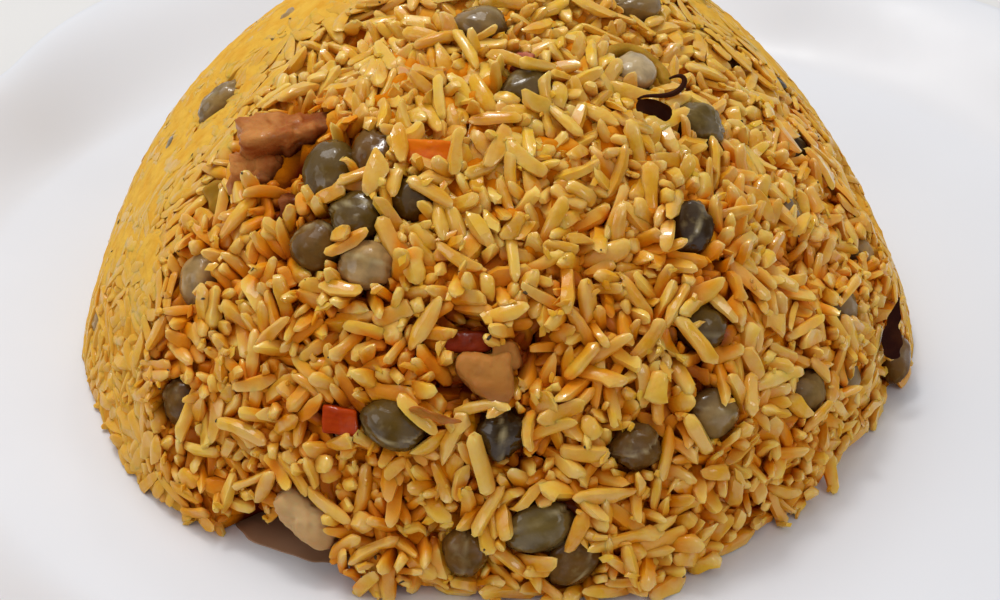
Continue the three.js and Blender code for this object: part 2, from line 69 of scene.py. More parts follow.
def build_mesh(name, points, faces, **attributes):
    """A mesh object in metres from points in millimetres, in rows of three, and one array of faces
    for each number of corners. Further arrays become values on the points."""
    mesh = bpy.data.meshes.new(name)
    corners = np.concatenate([f.ravel() for f in faces])
    sizes = np.concatenate([np.full(len(f), f.shape[1]) for f in faces])
    mesh.vertices.add(len(points))
    mesh.vertices.foreach_set("co", (points * 0.001).astype(np.float32).ravel())
    mesh.loops.add(len(corners))
    mesh.loops.foreach_set("vertex_index", corners.astype(np.int32))
    mesh.polygons.add(len(sizes))
    mesh.polygons.foreach_set("loop_start", (np.cumsum(sizes) - sizes).astype(np.int32))
    mesh.update(calc_edges=True)
    mesh.shade_smooth()
    for label, values in attributes.items():
        if values.ndim == 2:
            layer = mesh.attributes.new(label, "FLOAT_COLOR", "POINT")
            layer.data.foreach_set("color", values.astype(np.float32).ravel())
        else:
            layer = mesh.attributes.new(label, "FLOAT", "POINT")
            layer.data.foreach_set("value", values.astype(np.float32).ravel())
    piece = bpy.data.objects.new(name, mesh)
    bpy.context.scene.collection.objects.link(piece)
    return piece


def ringed_faces(bodies, rings, sides):
    """Faces of bodies that are each a first pole, rings of as many corners, and a last pole, with
    the corners counted in that order: triangles at the poles and four-sided faces between."""
    start = np.arange(bodies)[:, None, None] * (rings * sides + 2)
    ring = np.arange(rings - 1)[:, None]
    side = np.arange(sides)
    after = (side + 1) % sides
    a, b = 1 + ring * sides + side, 1 + ring * sides + after
    quads = np.stack([a, a + sides, b + sides, b], -1).reshape(1, -1, 4) + start
    top = np.stack([0 * side, 1 + side, 1 + after], -1)
    last = 1 + (rings - 1) * sides
    end = np.stack([0 * side + rings * sides + 1, last + after, last + side], -1)
    caps = np.concatenate([top, end])[None] + start
    return [quads.reshape(-1, 4), caps.reshape(-1, 3)]


def ringed_points(first, rings, last):
    """Points of such bodies: first and last are (bodies, 3) and rings (bodies, rings, sides, 3)."""
    count = len(rings)
    return np.concatenate([first[:, None], rings.reshape(count, -1, 3), last[:, None]], 1).reshape(-1, 3)


def plate_points():
    """The plate as rings from the middle of the well, over the rim and the rounded lip, back along
    the underside and the foot ring, to the middle below. A ring has a radius, a share of the way
    from that radius to the edge, and a height."""
    out = np.linspace(0, 0.975, 22)
    lip = np.radians(np.linspace(-60, 100, 8))
    rows = [(r, 0.0, WELL_TOP) for r in (12, 30, 50, 70, 84, 92, 96.5)]
    rows += [(WELL_RADIUS, s, rim_height(s)) for s in out]
    rows += [(WELL_RADIUS, 0.978 + 0.022 * np.cos(a), PLATE_HEIGHT - 1.6 - 1.55 * np.sin(a)) for a in lip]
    rows += [(WELL_RADIUS, s, rim_height(s) - RIM_THICKNESS + 0.6 * s) for s in np.linspace(0.95, 0.1, 14)]
    inner, outer = FOOT_RING
    rows += [(88, 0, UNDERSIDE), (outer + 1.2, 0, UNDERSIDE), (outer + 0.3, 0, 1.4), (outer - 0.4, 0, 0.2)]
    rows += [(outer - 1.2, 0, 0.0), (inner + 1.2, 0, 0.0), (inner + 0.4, 0, 0.2)]
    rows += [(inner - 0.3, 0, 1.4), (inner - 1.2, 0, UNDERSIDE), (40, 0, UNDERSIDE), (14, 0, UNDERSIDE)]
    radius, share, height = np.array(rows).T[:, :, None]
    degrees = np.linspace(0, 360, PLATE_SIDES, endpoint=False)
    reach = radius + (rim_reach(degrees) - radius) * share
    angle = np.radians(degrees)
    rings = np.stack([reach * np.cos(angle), reach * np.sin(angle), height + 0 * reach], -1)
    above, below = np.array([[0, 0, WELL_TOP]]), np.array([[0, 0, UNDERSIDE]])
    return ringed_points(above, rings[None], below), len(rows)


def paint(red, green, blue):
    """Linear colour of a paint given as it shows on a screen, 0 to 255."""
    shown = np.array([red, green, blue]) / 255
    return (*np.where(shown < 0.04045, shown / 12.92, ((shown + 0.055) / 1.055) ** 2.4), 1.0)


class Wiring:
    """Short calls for adding and joining the nodes of a material or of a node group."""

    def __init__(self, tree):
        self.tree = tree

    def node(self, kind, inputs=None, **settings):
        node = self.tree.nodes.new(kind)
        for label, value in settings.items():
            setattr(node, label, value)
        for label, value in (inputs or {}).items():
            if isinstance(value, bpy.types.NodeSocket):
                self.tree.links.new(value, node.inputs[label])
            else:
                node.inputs[label].default_value = value
        return node

    def blend(self, factor, first, second):
        inputs = {0: factor, 6: first, 7: second}
        return self.node("ShaderNodeMix", inputs, data_type="RGBA").outputs[2]

    def times(self, first, second):
        return self.node("ShaderNodeMath", {0: first, 1: second}, operation="MULTIPLY").outputs[0]

    def own(self, label, output="Fac"):
        return self.node("ShaderNodeAttribute", attribute_name=label).outputs[output]

    def noise(self, scale, detail=3.0, where=None):
        inputs = {"Scale": scale, "Detail": detail}
        inputs["Vector"] = where or self.node("ShaderNodeTexCoord").outputs["Object"]
        return self.node("ShaderNodeTexNoise", inputs).outputs["Fac"]

    def span(self, value, low, high, to_low=0.0, to_high=1.0):
        inputs = {"Value": value, "From Min": low, "From Max": high, "To Min": to_low, "To Max": to_high}
        return self.node("ShaderNodeMapRange", inputs).outputs["Result"]


class Finish(Wiring):
    """A node material on one Principled BSDF."""

    def __init__(self, name, **sockets):
        self.material = bpy.data.materials.new(name)
        self.material.use_nodes = True
        super().__init__(self.material.node_tree)
        self.shader = self.tree.nodes["Principled BSDF"]
        for label, value in sockets.items():
            self.shader.inputs[label.replace("_", " ").title().replace("Ior", "IOR")].default_value = value

    def feed(self, label, socket):
        self.tree.links.new(socket, self.shader.inputs[label])

    def relief(self, height, depth_mm, strength):
        inputs = {"Height": height, "Distance": depth_mm * 0.001, "Strength": strength}
        return self.node("ShaderNodeBump", inputs).outputs["Normal"]


points, rows = plate_points()
plate = build_mesh("stoneware_plate", points, ringed_faces(1, rows, PLATE_SIDES))
glaze = Finish("white_glaze", roughness=0.4, specular_ior_level=0.35)
glaze.feed("Roughness", glaze.span(glaze.noise(60), 0.35, 0.7, 0.34, 0.48))
clouds = glaze.span(glaze.noise(9), 0.35, 0.7)
glaze.feed("Base Color", glaze.blend(clouds, paint(228, 229, 233), paint(223, 224, 228)))
glaze.feed("Normal", glaze.relief(glaze.noise(22, 1.0), 0.12, 0.4))
plate.data.materials.append(glaze.material)
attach(plate, "root")
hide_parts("plate")

# Places of the food in the rice -------------------------------------------------------------
# Every pea and lump lies where its solid lies: its middle, its long, wide and outward axes, and
# half its size along each.

HEAP_MIDDLE = np.array([-9.0, -11.0, 5.3])


def seat(name):
    """Middle, axes and half sizes of a solid, from the spread of its triangles weighed by area.
    The axes are rows, longest first, and the last one points away from the heap's middle."""
    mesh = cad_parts[name].data
    corners = np.empty(len(mesh.vertices) * 3)
    mesh.vertices.foreach_get("co", corners)
    triangles = corners.reshape(-1, 3)[np.array([p.vertices[:] for p in mesh.polygons])] * 1000
    first_side, second_side = triangles[:, 1] - triangles[:, 0], triangles[:, 2] - triangles[:, 0]
    area = np.linalg.norm(np.cross(first_side, second_side), axis=1)
    centres = triangles.mean(1)
    weight = area / area.sum()
    middle = weight @ centres
    spread = (centres - middle).T @ ((centres - middle) * weight[:, None])
    axes = np.linalg.eigh(spread)[1].T[::-1].copy()
    if axes[2] @ (middle - HEAP_MIDDLE) < 0:
        axes[2] *= -1
    if axes[0] @ [0.9, 0.1, 0.4] < 0:
        axes[0] *= -1
    axes[1] = np.cross(axes[2], axes[0])
    local = (triangles.reshape(-1, 3) - middle) @ axes.T
    low, high = local.min(0), local.max(0)
    return middle + ((low + high) / 2) @ axes, axes, (high - low) / 2


seats = {name: seat(name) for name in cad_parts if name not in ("plate", "rice_heap")}

# Rice ---------------------------------------------------------------------------------------
# Boiled long-grain rice, coloured with annatto and oil and packed in a bowl. The wall of the bowl
# pressed the back and both sides smooth; towards the diner the grains have come loose.

HEAP_HEIGHT = 60.5
FOOT_RADII = np.array([69, 70.5, 71, 70.5, 70, 71, 67.5, 67, 65.5, 66.5, 66, 65])
SHOULDERS = np.array([-6, 1.5, 0.5, -5.5, -1, -0.5]) / 64
# Hollows where rice fell out: degrees around, degrees up, radius, depth.
HOLLOWS = np.array([
    (277, 34, 7, 4), (262, 38, 5, 3), (346, 26, 6, 4.5), (336, 47, 4, 3), (243, 1, 12, 4.5),
    (292, 14, 5, 2.5), (172.5, 45, 6.5, 2.2), (25.5, 69, 6.5, 2.0), (207.5, 42.5, 5, 1.8),
    (266, 36.5, 5, 2.5), (204, 7, 21, 2.0), (224, 52.5, 5, 3.4), (8, 22, 9, 4.5), (337, 4, 7, 2.2),
])
# Places where rice has slid outwards: degrees around, degrees up, radius, how far.
SPILLS = np.array([(288, 1, 11, 4.0), (225, 4, 7, 0.6), (254, 1, 7, 4.0)])
# Low arch in the foot where rice has broken away: degrees around, half its width, its height.
FOOT_GAP = (242.5, 11.5, 6.5)
SHELL_DEPTH = 6.5
GRAIN_COUNT = 8300
BALLS_PER_GRAIN = 4
SETTLING_STEPS = 110
DRIFTING_STEPS = 90


def eased(values, degrees):
    """A value round the heap, eased by a cosine between values at equal steps of angle."""
    place = (degrees % 360) / 360 * len(values)
    first = np.floor(place).astype(int) % len(values)
    share = (1 - np.cos(np.pi * (place % 1))) / 2
    return values[first] * (1 - share) + values[(first + 1) % len(values)] * share


def outward_at(around, up, foot):
    """The ellipsoid's outward normal, for angles in radians: each coordinate of a point on a ball,
    divided by the ellipsoid's half size along it."""
    flat = np.cos(up)
    x, y, z = flat * np.cos(around) / foot, flat * np.sin(around) / foot, np.sin(up) / HEAP_HEIGHT
    normal = np.stack([x, y, z], -1)
    return normal / np.linalg.norm(normal, axis=-1, keepdims=True)


def dome(around, up):
    """Skin of the heap and its outward normal, for angles in degrees: an ellipsoid whose foot
    changes round the heap, swollen or drawn in at the shoulder by the sine of twice the height."""
    a, u = np.radians(around), np.radians(up)
    foot = eased(FOOT_RADII, around)
    swell = 1 + eased(SHOULDERS, around) * np.sin(2 * u)
    flat = np.cos(u) * swell * foot
    skin = np.stack([flat * np.cos(a), flat * np.sin(a), HEAP_HEIGHT * np.sin(u) * swell], -1)
    return skin + HEAP_MIDDLE, outward_at(a, u, foot)


def under_skin(points):
    """How deep points lie under the skin, and the skin's normal there: the share by which a point
    falls short of the skin on its line from the heap's middle, times its height along the normal."""
    from_middle = points - HEAP_MIDDLE
    around = np.degrees(np.arctan2(from_middle[..., 1], from_middle[..., 0]))
    foot = eased(FOOT_RADII, around)
    level = np.hypot(from_middle[..., 0], from_middle[..., 1]) / foot
    rise = from_middle[..., 2] / HEAP_HEIGHT
    up = np.arctan2(rise, level)
    reach = np.hypot(level, rise) / (1 + eased(SHOULDERS, around) * np.sin(2 * up))
    normal = outward_at(np.radians(around), up, foot)
    return (1 / np.maximum(reach, 0.05) - 1) * (from_middle * normal).sum(-1), normal


def waves(points, length, seed):
    """Smooth unevenness from about -1 to 1: ten sine waves of nearly one length, added up, that run
    in seeded directions."""
    random = np.random.default_rng(seed)
    runs = random.normal(size=(10, 3))
    stretch = random.uniform(0.7, 1.4, (10, 1))
    runs *= 2 * np.pi / length * stretch / np.linalg.norm(runs, axis=1, keepdims=True)
    return np.sin(points @ runs.T + random.uniform(0, 6.3, 10)).sum(-1) / 3.2


def looseness(points, normal):
    """0 where the bowl pressed the rice and 1 where it has come loose, towards the diner, with an
    uneven border."""
    facing = normal @ np.array([0.24, -0.82, 0.5]) + 0.06 * waves(points, 30, 5)
    share = np.clip((facing - 0.27) / 0.34, 0, 1)
    return share**2 * (3 - 2 * share)


def hollow_depth(points):
    """How far the rice has fallen in: deepest at the middle of each hollow, zero at its radius."""
    depth = np.zeros(points.shape[:-1])
    for around, up, radius, deepest in HOLLOWS:
        away = np.linalg.norm(points - dome(np.array(around), np.array(up))[0], axis=-1) / radius
        depth = np.maximum(depth, deepest * (1 - away**2))
    return depth


def slid_out(points):
    """How far the rice has slid outwards: most at the middle of each spill, falling off as a bell."""
    way = np.zeros(points.shape[:-1])
    for around, up, radius, furthest in SPILLS:
        away = np.linalg.norm(points - dome(np.array(around), np.array(up))[0], axis=-1) / radius
        way = way + furthest * np.exp(-(away**2))
    return way


def in_foot_gap(points):
    """1 at the middle of the arch, on the plate, and 0 on it and outside: one minus the squares of
    how far a point lies along the foot and above the plate, in shares of the arch's size."""
    away = points - HEAP_MIDDLE
    aside = np.radians(np.degrees(np.arctan2(away[..., 1], away[..., 0])) % 360 - FOOT_GAP[0]) * FOOT_RADII[8]
    return np.clip(1 - (aside / FOOT_GAP[1]) ** 2 - ((points[..., 2] - WELL_TOP) / FOOT_GAP[2]) ** 2, 0, 1)


def even_places(count, lowest):
    """Places spread evenly over the dome by the golden angle: degrees around and degrees up."""
    rank = np.arange(count)
    height = 1 - (1 - np.sin(np.radians(lowest))) * (rank + 0.5) / count
    return rank * 137.50776 % 360, np.degrees(np.arcsin(height))


def unit(vectors):
    """The same directions at length one."""
    return vectors / np.linalg.norm(vectors, axis=-1, keepdims=True)


def close_pairs(points, reach, owner):
    """Pairs of points of different owners within reach. Points are sorted into cubes, and each
    point meets its own cube and the neighbours that follow, three at a time along z."""
    cube = np.floor((points - points.min(0)) / reach).astype(np.int64) + 1
    span = cube.max(0) + 2
    key = (cube[:, 0] * span[1] + cube[:, 1]) * span[2] + cube[:, 2]
    order = np.argsort(key, kind="stable")
    key = key[order]
    rank = np.arange(len(key))
    pairs = []
    for right, far in ((0, 0), (0, 1), (1, -1), (1, 0), (1, 1)):
        shift = (right * span[1] + far) * span[2]
        own = right == far == 0
        first = rank + 1 if own else np.searchsorted(key, key + shift - 1)
        last = np.searchsorted(key, key + shift + 1, "right")
        count = np.maximum(last - first, 0)
        one = np.repeat(rank, count)
        other = np.arange(count.sum()) - np.repeat(np.cumsum(count) - count, count) + np.repeat(first, count)
        pairs.append((order[one], order[other]))
    one, other = (np.concatenate(side) for side in zip(*pairs))
    near = (owner[one] != owner[other]) & (np.linalg.norm(points[one] - points[other], axis=1) < reach)
    return one[near], other[near]


def peas_named(*numbers):
    """Names of the peas with these numbers."""
    return [f"pigeon_pea_{number:02d}" for number in numbers]


# Food that the rice leaves bare, and food that it half covers.
BARE = (
    *peas_named(*range(1, 14), *range(15, 23), 33),
    "ham_large", "ham_small", "ham_pink", "pork", "pork_fat", "pimiento", "carrot_front", "carrot_top",
    "green_pepper", "olive_slice", "leaf_curled", "leaf_purple", "onion_thread",
)
COVERED = peas_named(14, 23, 27, 28, 29, 30, 34, 35, 37, 38, *range(39, 44))


def dome_frame(point):
    """Level, rising and outward directions of the heap's skin at a point."""
    normal = under_skin(point)[1]
    level = unit(np.cross([0, 0, 1.0], normal))
    return level, np.cross(normal, level), normal


def out_of_food(points, radius):
    """Moves that take balls out of the peas and lumps: each one is an ellipsoid grown by the ball,
    left by the shortest way, and what lies on a proud one slides off to its side."""
    move = np.zeros_like(points)
    for name, (middle, axes, half) in seats.items():
        clear = 1.0 if name in BARE else 0.35 if name in COVERED else 0.75
        near = np.flatnonzero(np.linalg.norm(points - middle, axis=1) < half.max() + 4)
        local = (points[near] - middle) @ axes.T
        size = half * 1.04 + radius[near, None] * 0.92
        share = np.linalg.norm(local / size, axis=1)
        steep = unit(local / size**2 + 1e-9)
        slope = np.linalg.norm(local / size**2, axis=1) / np.maximum(share, 1e-6)
        depth = np.maximum(1 - share, 0) / np.maximum(slope, 1e-6)
        push = steep * np.minimum(depth, 1.2)[:, None]
        above = (local[:, 2] > 0) & (share >= 1)
        beside = local[:, :2] / (half[:2] * clear + radius[near, None] * 0.3)
        off = np.linalg.norm(beside, axis=1)
        sideways = np.pad(beside / np.maximum(off, 1e-6)[:, None], ((0, 0), (0, 1)))
        slide = np.where((above & (off < 1))[:, None], sideways, 0)
        move[near] += (push + 0.5 * slide) @ axes
    return move


# How far off its middle each bare piece is open, in shares of its outline.
OPEN = {name: 0.85 if name.startswith("pigeon") else 1.05 for name in BARE}
OPEN |= {"ham_large": 1.3, "pimiento": 1.15, "onion_thread": 1.3, "pigeon_pea_10": 0.7}
OPEN |= dict.fromkeys(peas_named(8, 9, 11, 12, 13, *range(15, 20)), 1.15)


def over_food(points):
    """True for points over a piece that the rice leaves bare, within the open share of its outline."""
    over = np.zeros(len(points), bool)
    for name in BARE:
        middle, axes, half = seats[name]
        local = (points - middle) @ axes.T
        share = np.linalg.norm(local[:, :2] / half[:2], axis=1)
        over |= (share < OPEN[name]) & (local[:, 2] > 0)
    return over


def settle_grains(random):
    """Grains laid at random in the outer shell of the heap and moved apart. Each is four balls on a
    line. Balls that overlap are pushed apart by half the overlap, those outside the skin or the
    shell are pushed back, and each grain then takes the line that fits its balls best. Where the
    bowl pressed they drift outwards to its wall, and elsewhere inwards."""
    around, up = even_places(GRAIN_COUNT, 0.5)
    around = around + random.uniform(-1.5, 1.5, GRAIN_COUNT)
    skin, normal = dome(around, up)
    loose = looseness(skin, normal)
    kind = random.random(GRAIN_COUNT)
    long = kind < 0.5
    length = np.where(long, random.normal(7.3, 0.8, GRAIN_COUNT), random.uniform(3.0, 6.2, GRAIN_COUNT))
    width = random.normal(2.02, 0.18, GRAIN_COUNT)
    spilt = slid_out(skin)
    middle = skin - normal * (random.uniform(1.2, SHELL_DEPTH - 0.8, GRAIN_COUNT) - spilt)[:, None]
    turn = 2.2 * waves(skin, 34, 9) + random.normal(0, 0.75, GRAIN_COUNT)
    level = unit(np.cross([0, 0, 1.0], normal) + [1e-6, 0, 0])
    rise = np.cross(normal, level)
    lean = random.normal(0, 1, GRAIN_COUNT) * np.radians(7 + 21 * loose)
    flat = level * np.cos(turn)[:, None] + rise * np.sin(turn)[:, None]
    along = flat * np.cos(lean)[:, None] + normal * np.sin(lean)[:, None]
    stations = np.array([-1, -1 / 3, 1 / 3, 1])
    owner = np.repeat(np.arange(GRAIN_COUNT), BALLS_PER_GRAIN)
    radius = np.repeat(width * 0.41, BALLS_PER_GRAIN)
    reach = (length - width)[:, None] / 2 * stations
    slack = np.repeat(-0.5 - loose * (0.9 + 1.3 * waves(skin, 9, 8)) - spilt, BALLS_PER_GRAIN)
    spread = np.repeat(spilt, BALLS_PER_GRAIN)
    drift = np.repeat(0.04 - 0.07 * loose, BALLS_PER_GRAIN)[:, None]
    for step in range(SETTLING_STEPS):
        balls = (middle[:, None] + along[:, None] * reach[:, :, None]).reshape(-1, 3)
        if step % 6 == 0:
            one, other = close_pairs(balls, 2.7, owner)
        gap = balls[other] - balls[one]
        apart = np.linalg.norm(gap, axis=1)
        overlap = np.maximum(radius[one] + radius[other] - apart, 0)
        push = gap * (0.5 * overlap / np.maximum(apart, 1e-6))[:, None]
        move = np.stack([
            np.bincount(other, part, len(balls)) - np.bincount(one, part, len(balls)) for part in push.T
        ], 1)
        move = move * 0.8 + out_of_food(balls, radius)
        depth, outward = under_skin(balls)
        shallow = np.maximum(radius + slack + hollow_depth(balls) - depth, 0)
        deep = np.maximum(depth - SHELL_DEPTH + spread, 0)
        move += outward * (0.7 * (deep - shallow))[:, None]
        if step < DRIFTING_STEPS:
            move += outward * drift
        low = np.maximum(WELL_TOP + 0.1 + radius - balls[:, 2], 0)
        move[:, 2] += low
        size = np.linalg.norm(move, axis=1, keepdims=True)
        balls += move * np.minimum(1, 0.8 / np.maximum(size, 1e-9))
        balls = balls.reshape(-1, BALLS_PER_GRAIN, 3)
        middle = balls.mean(1)
        along = unit(along * 1e-3 + (balls * stations[:, None]).sum(1))
    crowding = np.bincount(np.concatenate([one, other]), np.concatenate([overlap, overlap]), len(owner))
    return middle, along, length, width, kind, crowding.reshape(-1, BALLS_PER_GRAIN).max(1)


random = np.random.default_rng(7)
middle, along, length, width, kind, crowding = settle_grains(random)

# Stations of a grain's rings along it, and the directions and box corners of its section.
RING_PLACES = np.array([-0.96, -0.8, -0.36, 0.3, 0.78, 0.96])
GRAIN_RINGS, GRAIN_SIDES = 6, 8
SIDE_TURNS = np.radians([22, 62, 118, 158, 202, 242, 298, 338])
BOX_WIDE = np.array([1, 0.72, -0.72, -1, -1, -0.72, 0.72, 1])
BOX_THICK = np.array([0.42, 0.94, 0.94, 0.42, -0.42, -0.94, -0.94, -0.42])


def grain_points(middle, along, length, width, random, blunt=0.0, burst=0.0):
    """Boiled grains as rods along a bent middle line. The rod's width falls to its ends as the root
    of one minus a power of the way along: a high power makes a blunt end, and each end has its own.
    Ends are cut aslant, a burst end is spread wide and thin, and the section has soft corners."""
    count = len(middle)
    normal = under_skin(middle)[1]
    tilt = unit(normal + random.normal(0, 0.45, (count, 3)))
    wide = unit(np.cross(tilt, along))
    thick = np.cross(along, wide)
    place = RING_PLACES[None] + random.uniform(-0.02, 0.02, (count, GRAIN_RINGS))
    near_power, far_power = random.uniform(2, 9, (count, 1)) + 6 * blunt, random.uniform(2, 7, (count, 1))
    power = np.where(place > 0, near_power, far_power)
    taper = (1 - np.abs(place).clip(0, 0.985) ** power) ** 0.5
    taper = taper * (1 + random.normal(0, 0.1, (count, GRAIN_RINGS)))
    flare = burst * np.clip((place - 0.1) / 0.9, 0, 1) ** 2
    half_wide = width[:, None] / 2 * taper * (1 + 0.55 * flare) * random.uniform(0.86, 1.16, (count, 1))
    half_thick = width[:, None] / 2 * taper * (1 - 0.35 * flare) * random.uniform(0.6, 0.86, (count, 1))
    bend = random.normal(0, 0.17, (count, 1)) * length[:, None] / 7
    curl = random.normal(0, 0.15, (count, 1))
    curl = curl - burst * random.uniform(0, 0.9, (count, 1)) * np.clip(place, 0, 1)
    centre = (
        middle[:, None]
        + along[:, None] * (place * length[:, None] / 2)[..., None]
        + wide[:, None] * (bend * (1 - 2 * place**2))[..., None]
        + thick[:, None] * (curl * (1 - 2 * place**2))[..., None]
    )
    box = random.uniform(0.3, 1.05, (count, 1, 1))
    round_wide, round_thick = np.cos(SIDE_TURNS), np.sin(SIDE_TURNS)
    section_wide = round_wide + (BOX_WIDE - round_wide) * box
    section_thick = round_thick + (BOX_THICK - round_thick) * box
    uneven = 1 + random.normal(0, 0.1, (count, 1, GRAIN_SIDES))
    uneven = uneven + random.normal(0, 0.06, (count, GRAIN_RINGS, GRAIN_SIDES))
    crease = 1 - burst * 0.35 * (np.abs(BOX_WIDE) < 0.7)
    aslant = random.normal(0, 0.8, (count, 1, 1)) * np.clip(np.abs(place) - 0.4, 0, 1)[..., None]
    across = half_wide[..., None] * section_wide * uneven
    over = half_thick[..., None] * section_thick * uneven * crease
    rings = (
        centre[:, :, None]
        + wide[:, None, None] * across[..., None]
        + thick[:, None, None] * over[..., None]
        + along[:, None, None] * (aslant * (across + over))[..., None]
    )
    tip = length[:, None] / 2 * along
    shift = wide * -bend + thick * -curl[:, :1]
    size = (count, 1)
    first, last = (
        width[:, None] * (wide * random.normal(0, 0.14, size) + thick * random.normal(0, 0.1, size))
        for _ in range(2)
    )
    return middle - tip + shift + first, rings, middle + tip + shift + last


def pressed_flat(points, wall):
    """Points pushed in to the wall of the bowl where it pressed the rice, and a little way before
    it, so that the outermost grains lie flat against it."""
    depth, normal = under_skin(points)
    loose = looseness(points, normal)
    wall = wall + 0.25 * (1 + waves(points, 14, 21)) / 2 + 0.2 * (1 + waves(points, 5, 22)) / 2
    soft = wall + 0.25 * np.log1p(np.exp(((depth - wall) / 0.25).clip(-30, 30)))
    return points + normal * ((depth - soft) * (1 - loose))[..., None]


class Cover:
    """The level of the outermost rice over a map of the heap, with cells of about a millimetre.
    A cell keeps the least depth of the balls in it and in the cells beside it."""

    COLUMNS, ROWS = 360, 100
    NO_RICE = 9.0

    def __init__(self, balls, radius):
        self.level = np.full((self.COLUMNS, self.ROWS), self.NO_RICE)
        column, row = self.cells(balls)
        np.minimum.at(self.level, (column, row), under_skin(balls)[0] - radius)
        for axis in (0, 1):
            beside = [np.roll(self.level, way, axis) for way in (1, -1)]
            self.level = np.minimum.reduce([self.level, *beside])

    def cells(self, points):
        away = points - HEAP_MIDDLE
        around = np.arctan2(away[:, 1], away[:, 0]) / (2 * np.pi) % 1
        up = np.arctan2(away[:, 2], np.hypot(away[:, 0], away[:, 1])) / (np.pi / 2)
        column = (around * self.COLUMNS).astype(int) % self.COLUMNS
        return column, np.clip(up * self.ROWS, 0, self.ROWS - 1).astype(int)

    def depth(self, points):
        """How far points lie below the rice that stands outermost around them."""
        return under_skin(points)[0] - self.level[self.cells(points)]


def grain_atlas(count, rings, sides):
    """A map that gives each grain its own cell, with a margin, and unrolls it there: round the
    grain is across, and along it is up. Values are for each corner, in the order of the faces."""
    columns = int(np.ceil(np.sqrt(count * 1.6)))
    rows = int(np.ceil(count / columns))
    ring, side = np.meshgrid(np.arange(rings - 1), np.arange(sides), indexing="ij")
    spot = np.arange(sides)

    def corners(at, *places):
        """Corners of one kind of face, as steps across and up from where each face starts."""
        return np.stack([np.stack([at + across, 0 * at + up], -1) for across, up in places], -2)

    quads = corners(side, (0, ring + 1), (0, ring + 2), (1, ring + 2), (1, ring + 1))
    top = corners(spot, (0.5, 0), (0, 1), (1, 1))
    end = corners(spot, (0.5, rings + 1), (1, rings), (0, rings))
    cell = np.array([columns, rows])
    corner = np.array([np.arange(count) % columns, np.arange(count) // columns]).T
    scale = np.array([sides, rings + 1])
    fitted = [0.12 + 0.76 * part.reshape(-1, 2) / scale for part in (quads, np.concatenate([top, end]))]
    return np.concatenate([((corner[:, None] + part[None]) / cell).reshape(-1, 2) for part in fitted])


def unroll(piece, count, rings, sides):
    """Gives a piece of many small bodies the map on which its looks are baked."""
    layer = piece.data.uv_layers.new(name="OFBake")
    layer.uv.foreach_set("vector", grain_atlas(count, rings, sides).astype(np.float32).ravel())


stations = np.array([-0.9, -0.3, 0.3, 0.9]) / 2
balls = middle[:, None] + along[:, None] * (stations * (length - width)[:, None])[..., None]
random = np.random.default_rng(15)
# Gaps between the loose grains: many small ones at random, and the deep ones at their places:
# degrees around, degrees up, radius.
CAVITY_PLACES = 320
cavities, _ = dome(*even_places(CAVITY_PLACES, 4))
open_rice = looseness(cavities, under_skin(cavities)[1]) > 0.6
cavities = cavities[open_rice & (random.random(CAVITY_PLACES) < 0.24)]
cavities += random.normal(0, 2.0, cavities.shape)
RECESSES = np.array([
    (224, 53, 4), (225.5, 55, 4), (227.5, 51.5, 3), (231, 58, 3), (322, 48, 2.5), (270, 46, 3),
    (290, 49, 2.5), (285, 44, 2.5), (310, 39, 3), (331, 33, 3), (329, 29, 3), (265, 38, 3.5),
    (276, 35, 5), (264, 30, 4), (300, 28, 3), (306, 32, 2.5),
    (297, 34, 2.5), (252, 27, 2.5), (242, 25, 2.5), (245, 21, 2.5), (279, 22, 3), (274, 21, 3),
    (259, 16, 2.5), (244, 37, 2.5), (222, 47, 2.5), (248, 41, 2.5), (329.5, 31, 4.5), (288, 38, 3),
    (258, 34, 3), (284, 28, 3), (268, 24, 3), (294, 22, 3), (255, 22, 2.5), (303, 20, 2.5),
])
holes = np.concatenate([cavities, dome(RECESSES[:, 0], RECESSES[:, 1])[0]])
reach = np.concatenate([random.uniform(1.5, 2.4, len(cavities)), RECESSES[:, 2]])
gone = over_food(middle)
for hole, radius in zip(holes, reach):
    gone |= np.linalg.norm(middle - hole + under_skin(hole)[1] * 0.8, axis=1) < radius
gone |= in_foot_gap(middle + under_skin(middle)[1] * [0, 0, 0.8]) > 0
cover = Cover(balls.reshape(-1, 3), np.repeat(width / 2, BALLS_PER_GRAIN))
grain_skins, grain_depths = [], []


def grains(name, chosen, **shape):
    """One mesh of all chosen grains, with a tone for each grain, how deep it lies and how loose."""
    count = len(chosen)
    places = middle[chosen], along[chosen], length[chosen], width[chosen]
    first, rings, last = grain_points(*places, random, **shape)
    each = GRAIN_RINGS * GRAIN_SIDES + 2
    wall = np.repeat(random.uniform(0.0, 0.22, count), each)
    points = pressed_flat(ringed_points(first, rings, last), wall)
    points[:, 2] = np.maximum(points[:, 2], WELL_TOP + 0.05)
    grain_skins.append(points)
    # Painted shade: the depth that darkens a grain counts for less where the heap's skin faces up, so the top
    # of the heap is painted lighter.
    upward = np.clip((under_skin(points)[1][:, 2] - 0.6) / 0.3, 0, 1)
    grain_depths.append(cover.depth(points) * (1 - 0.38 * upward))
    tone = np.repeat(random.random(count), each)
    loose = looseness(points, under_skin(points)[1])
    faces = ringed_faces(count, GRAIN_RINGS, GRAIN_SIDES)
    # Painted light: the tips are marked for a pale glow, standing in for light shining through the grain's
    # ends.
    ends = np.tile(np.concatenate([[1], np.repeat(np.abs(RING_PLACES) ** 3, GRAIN_SIDES), [1]]), count)
    streak = np.tile(random.random((count, GRAIN_SIDES)), (1, GRAIN_RINGS))
    streak = np.pad(streak, ((0, 0), (1, 1)), constant_values=0.5)
    piece = build_mesh(name, points, faces, tone=tone, depth=grain_depths[-1], loose=loose, ends=ends,
                       streak=streak.ravel())
    piece.data.set_sharp_from_angle(angle=np.radians(52))
    unroll(piece, count, GRAIN_RINGS, GRAIN_SIDES)
    return piece


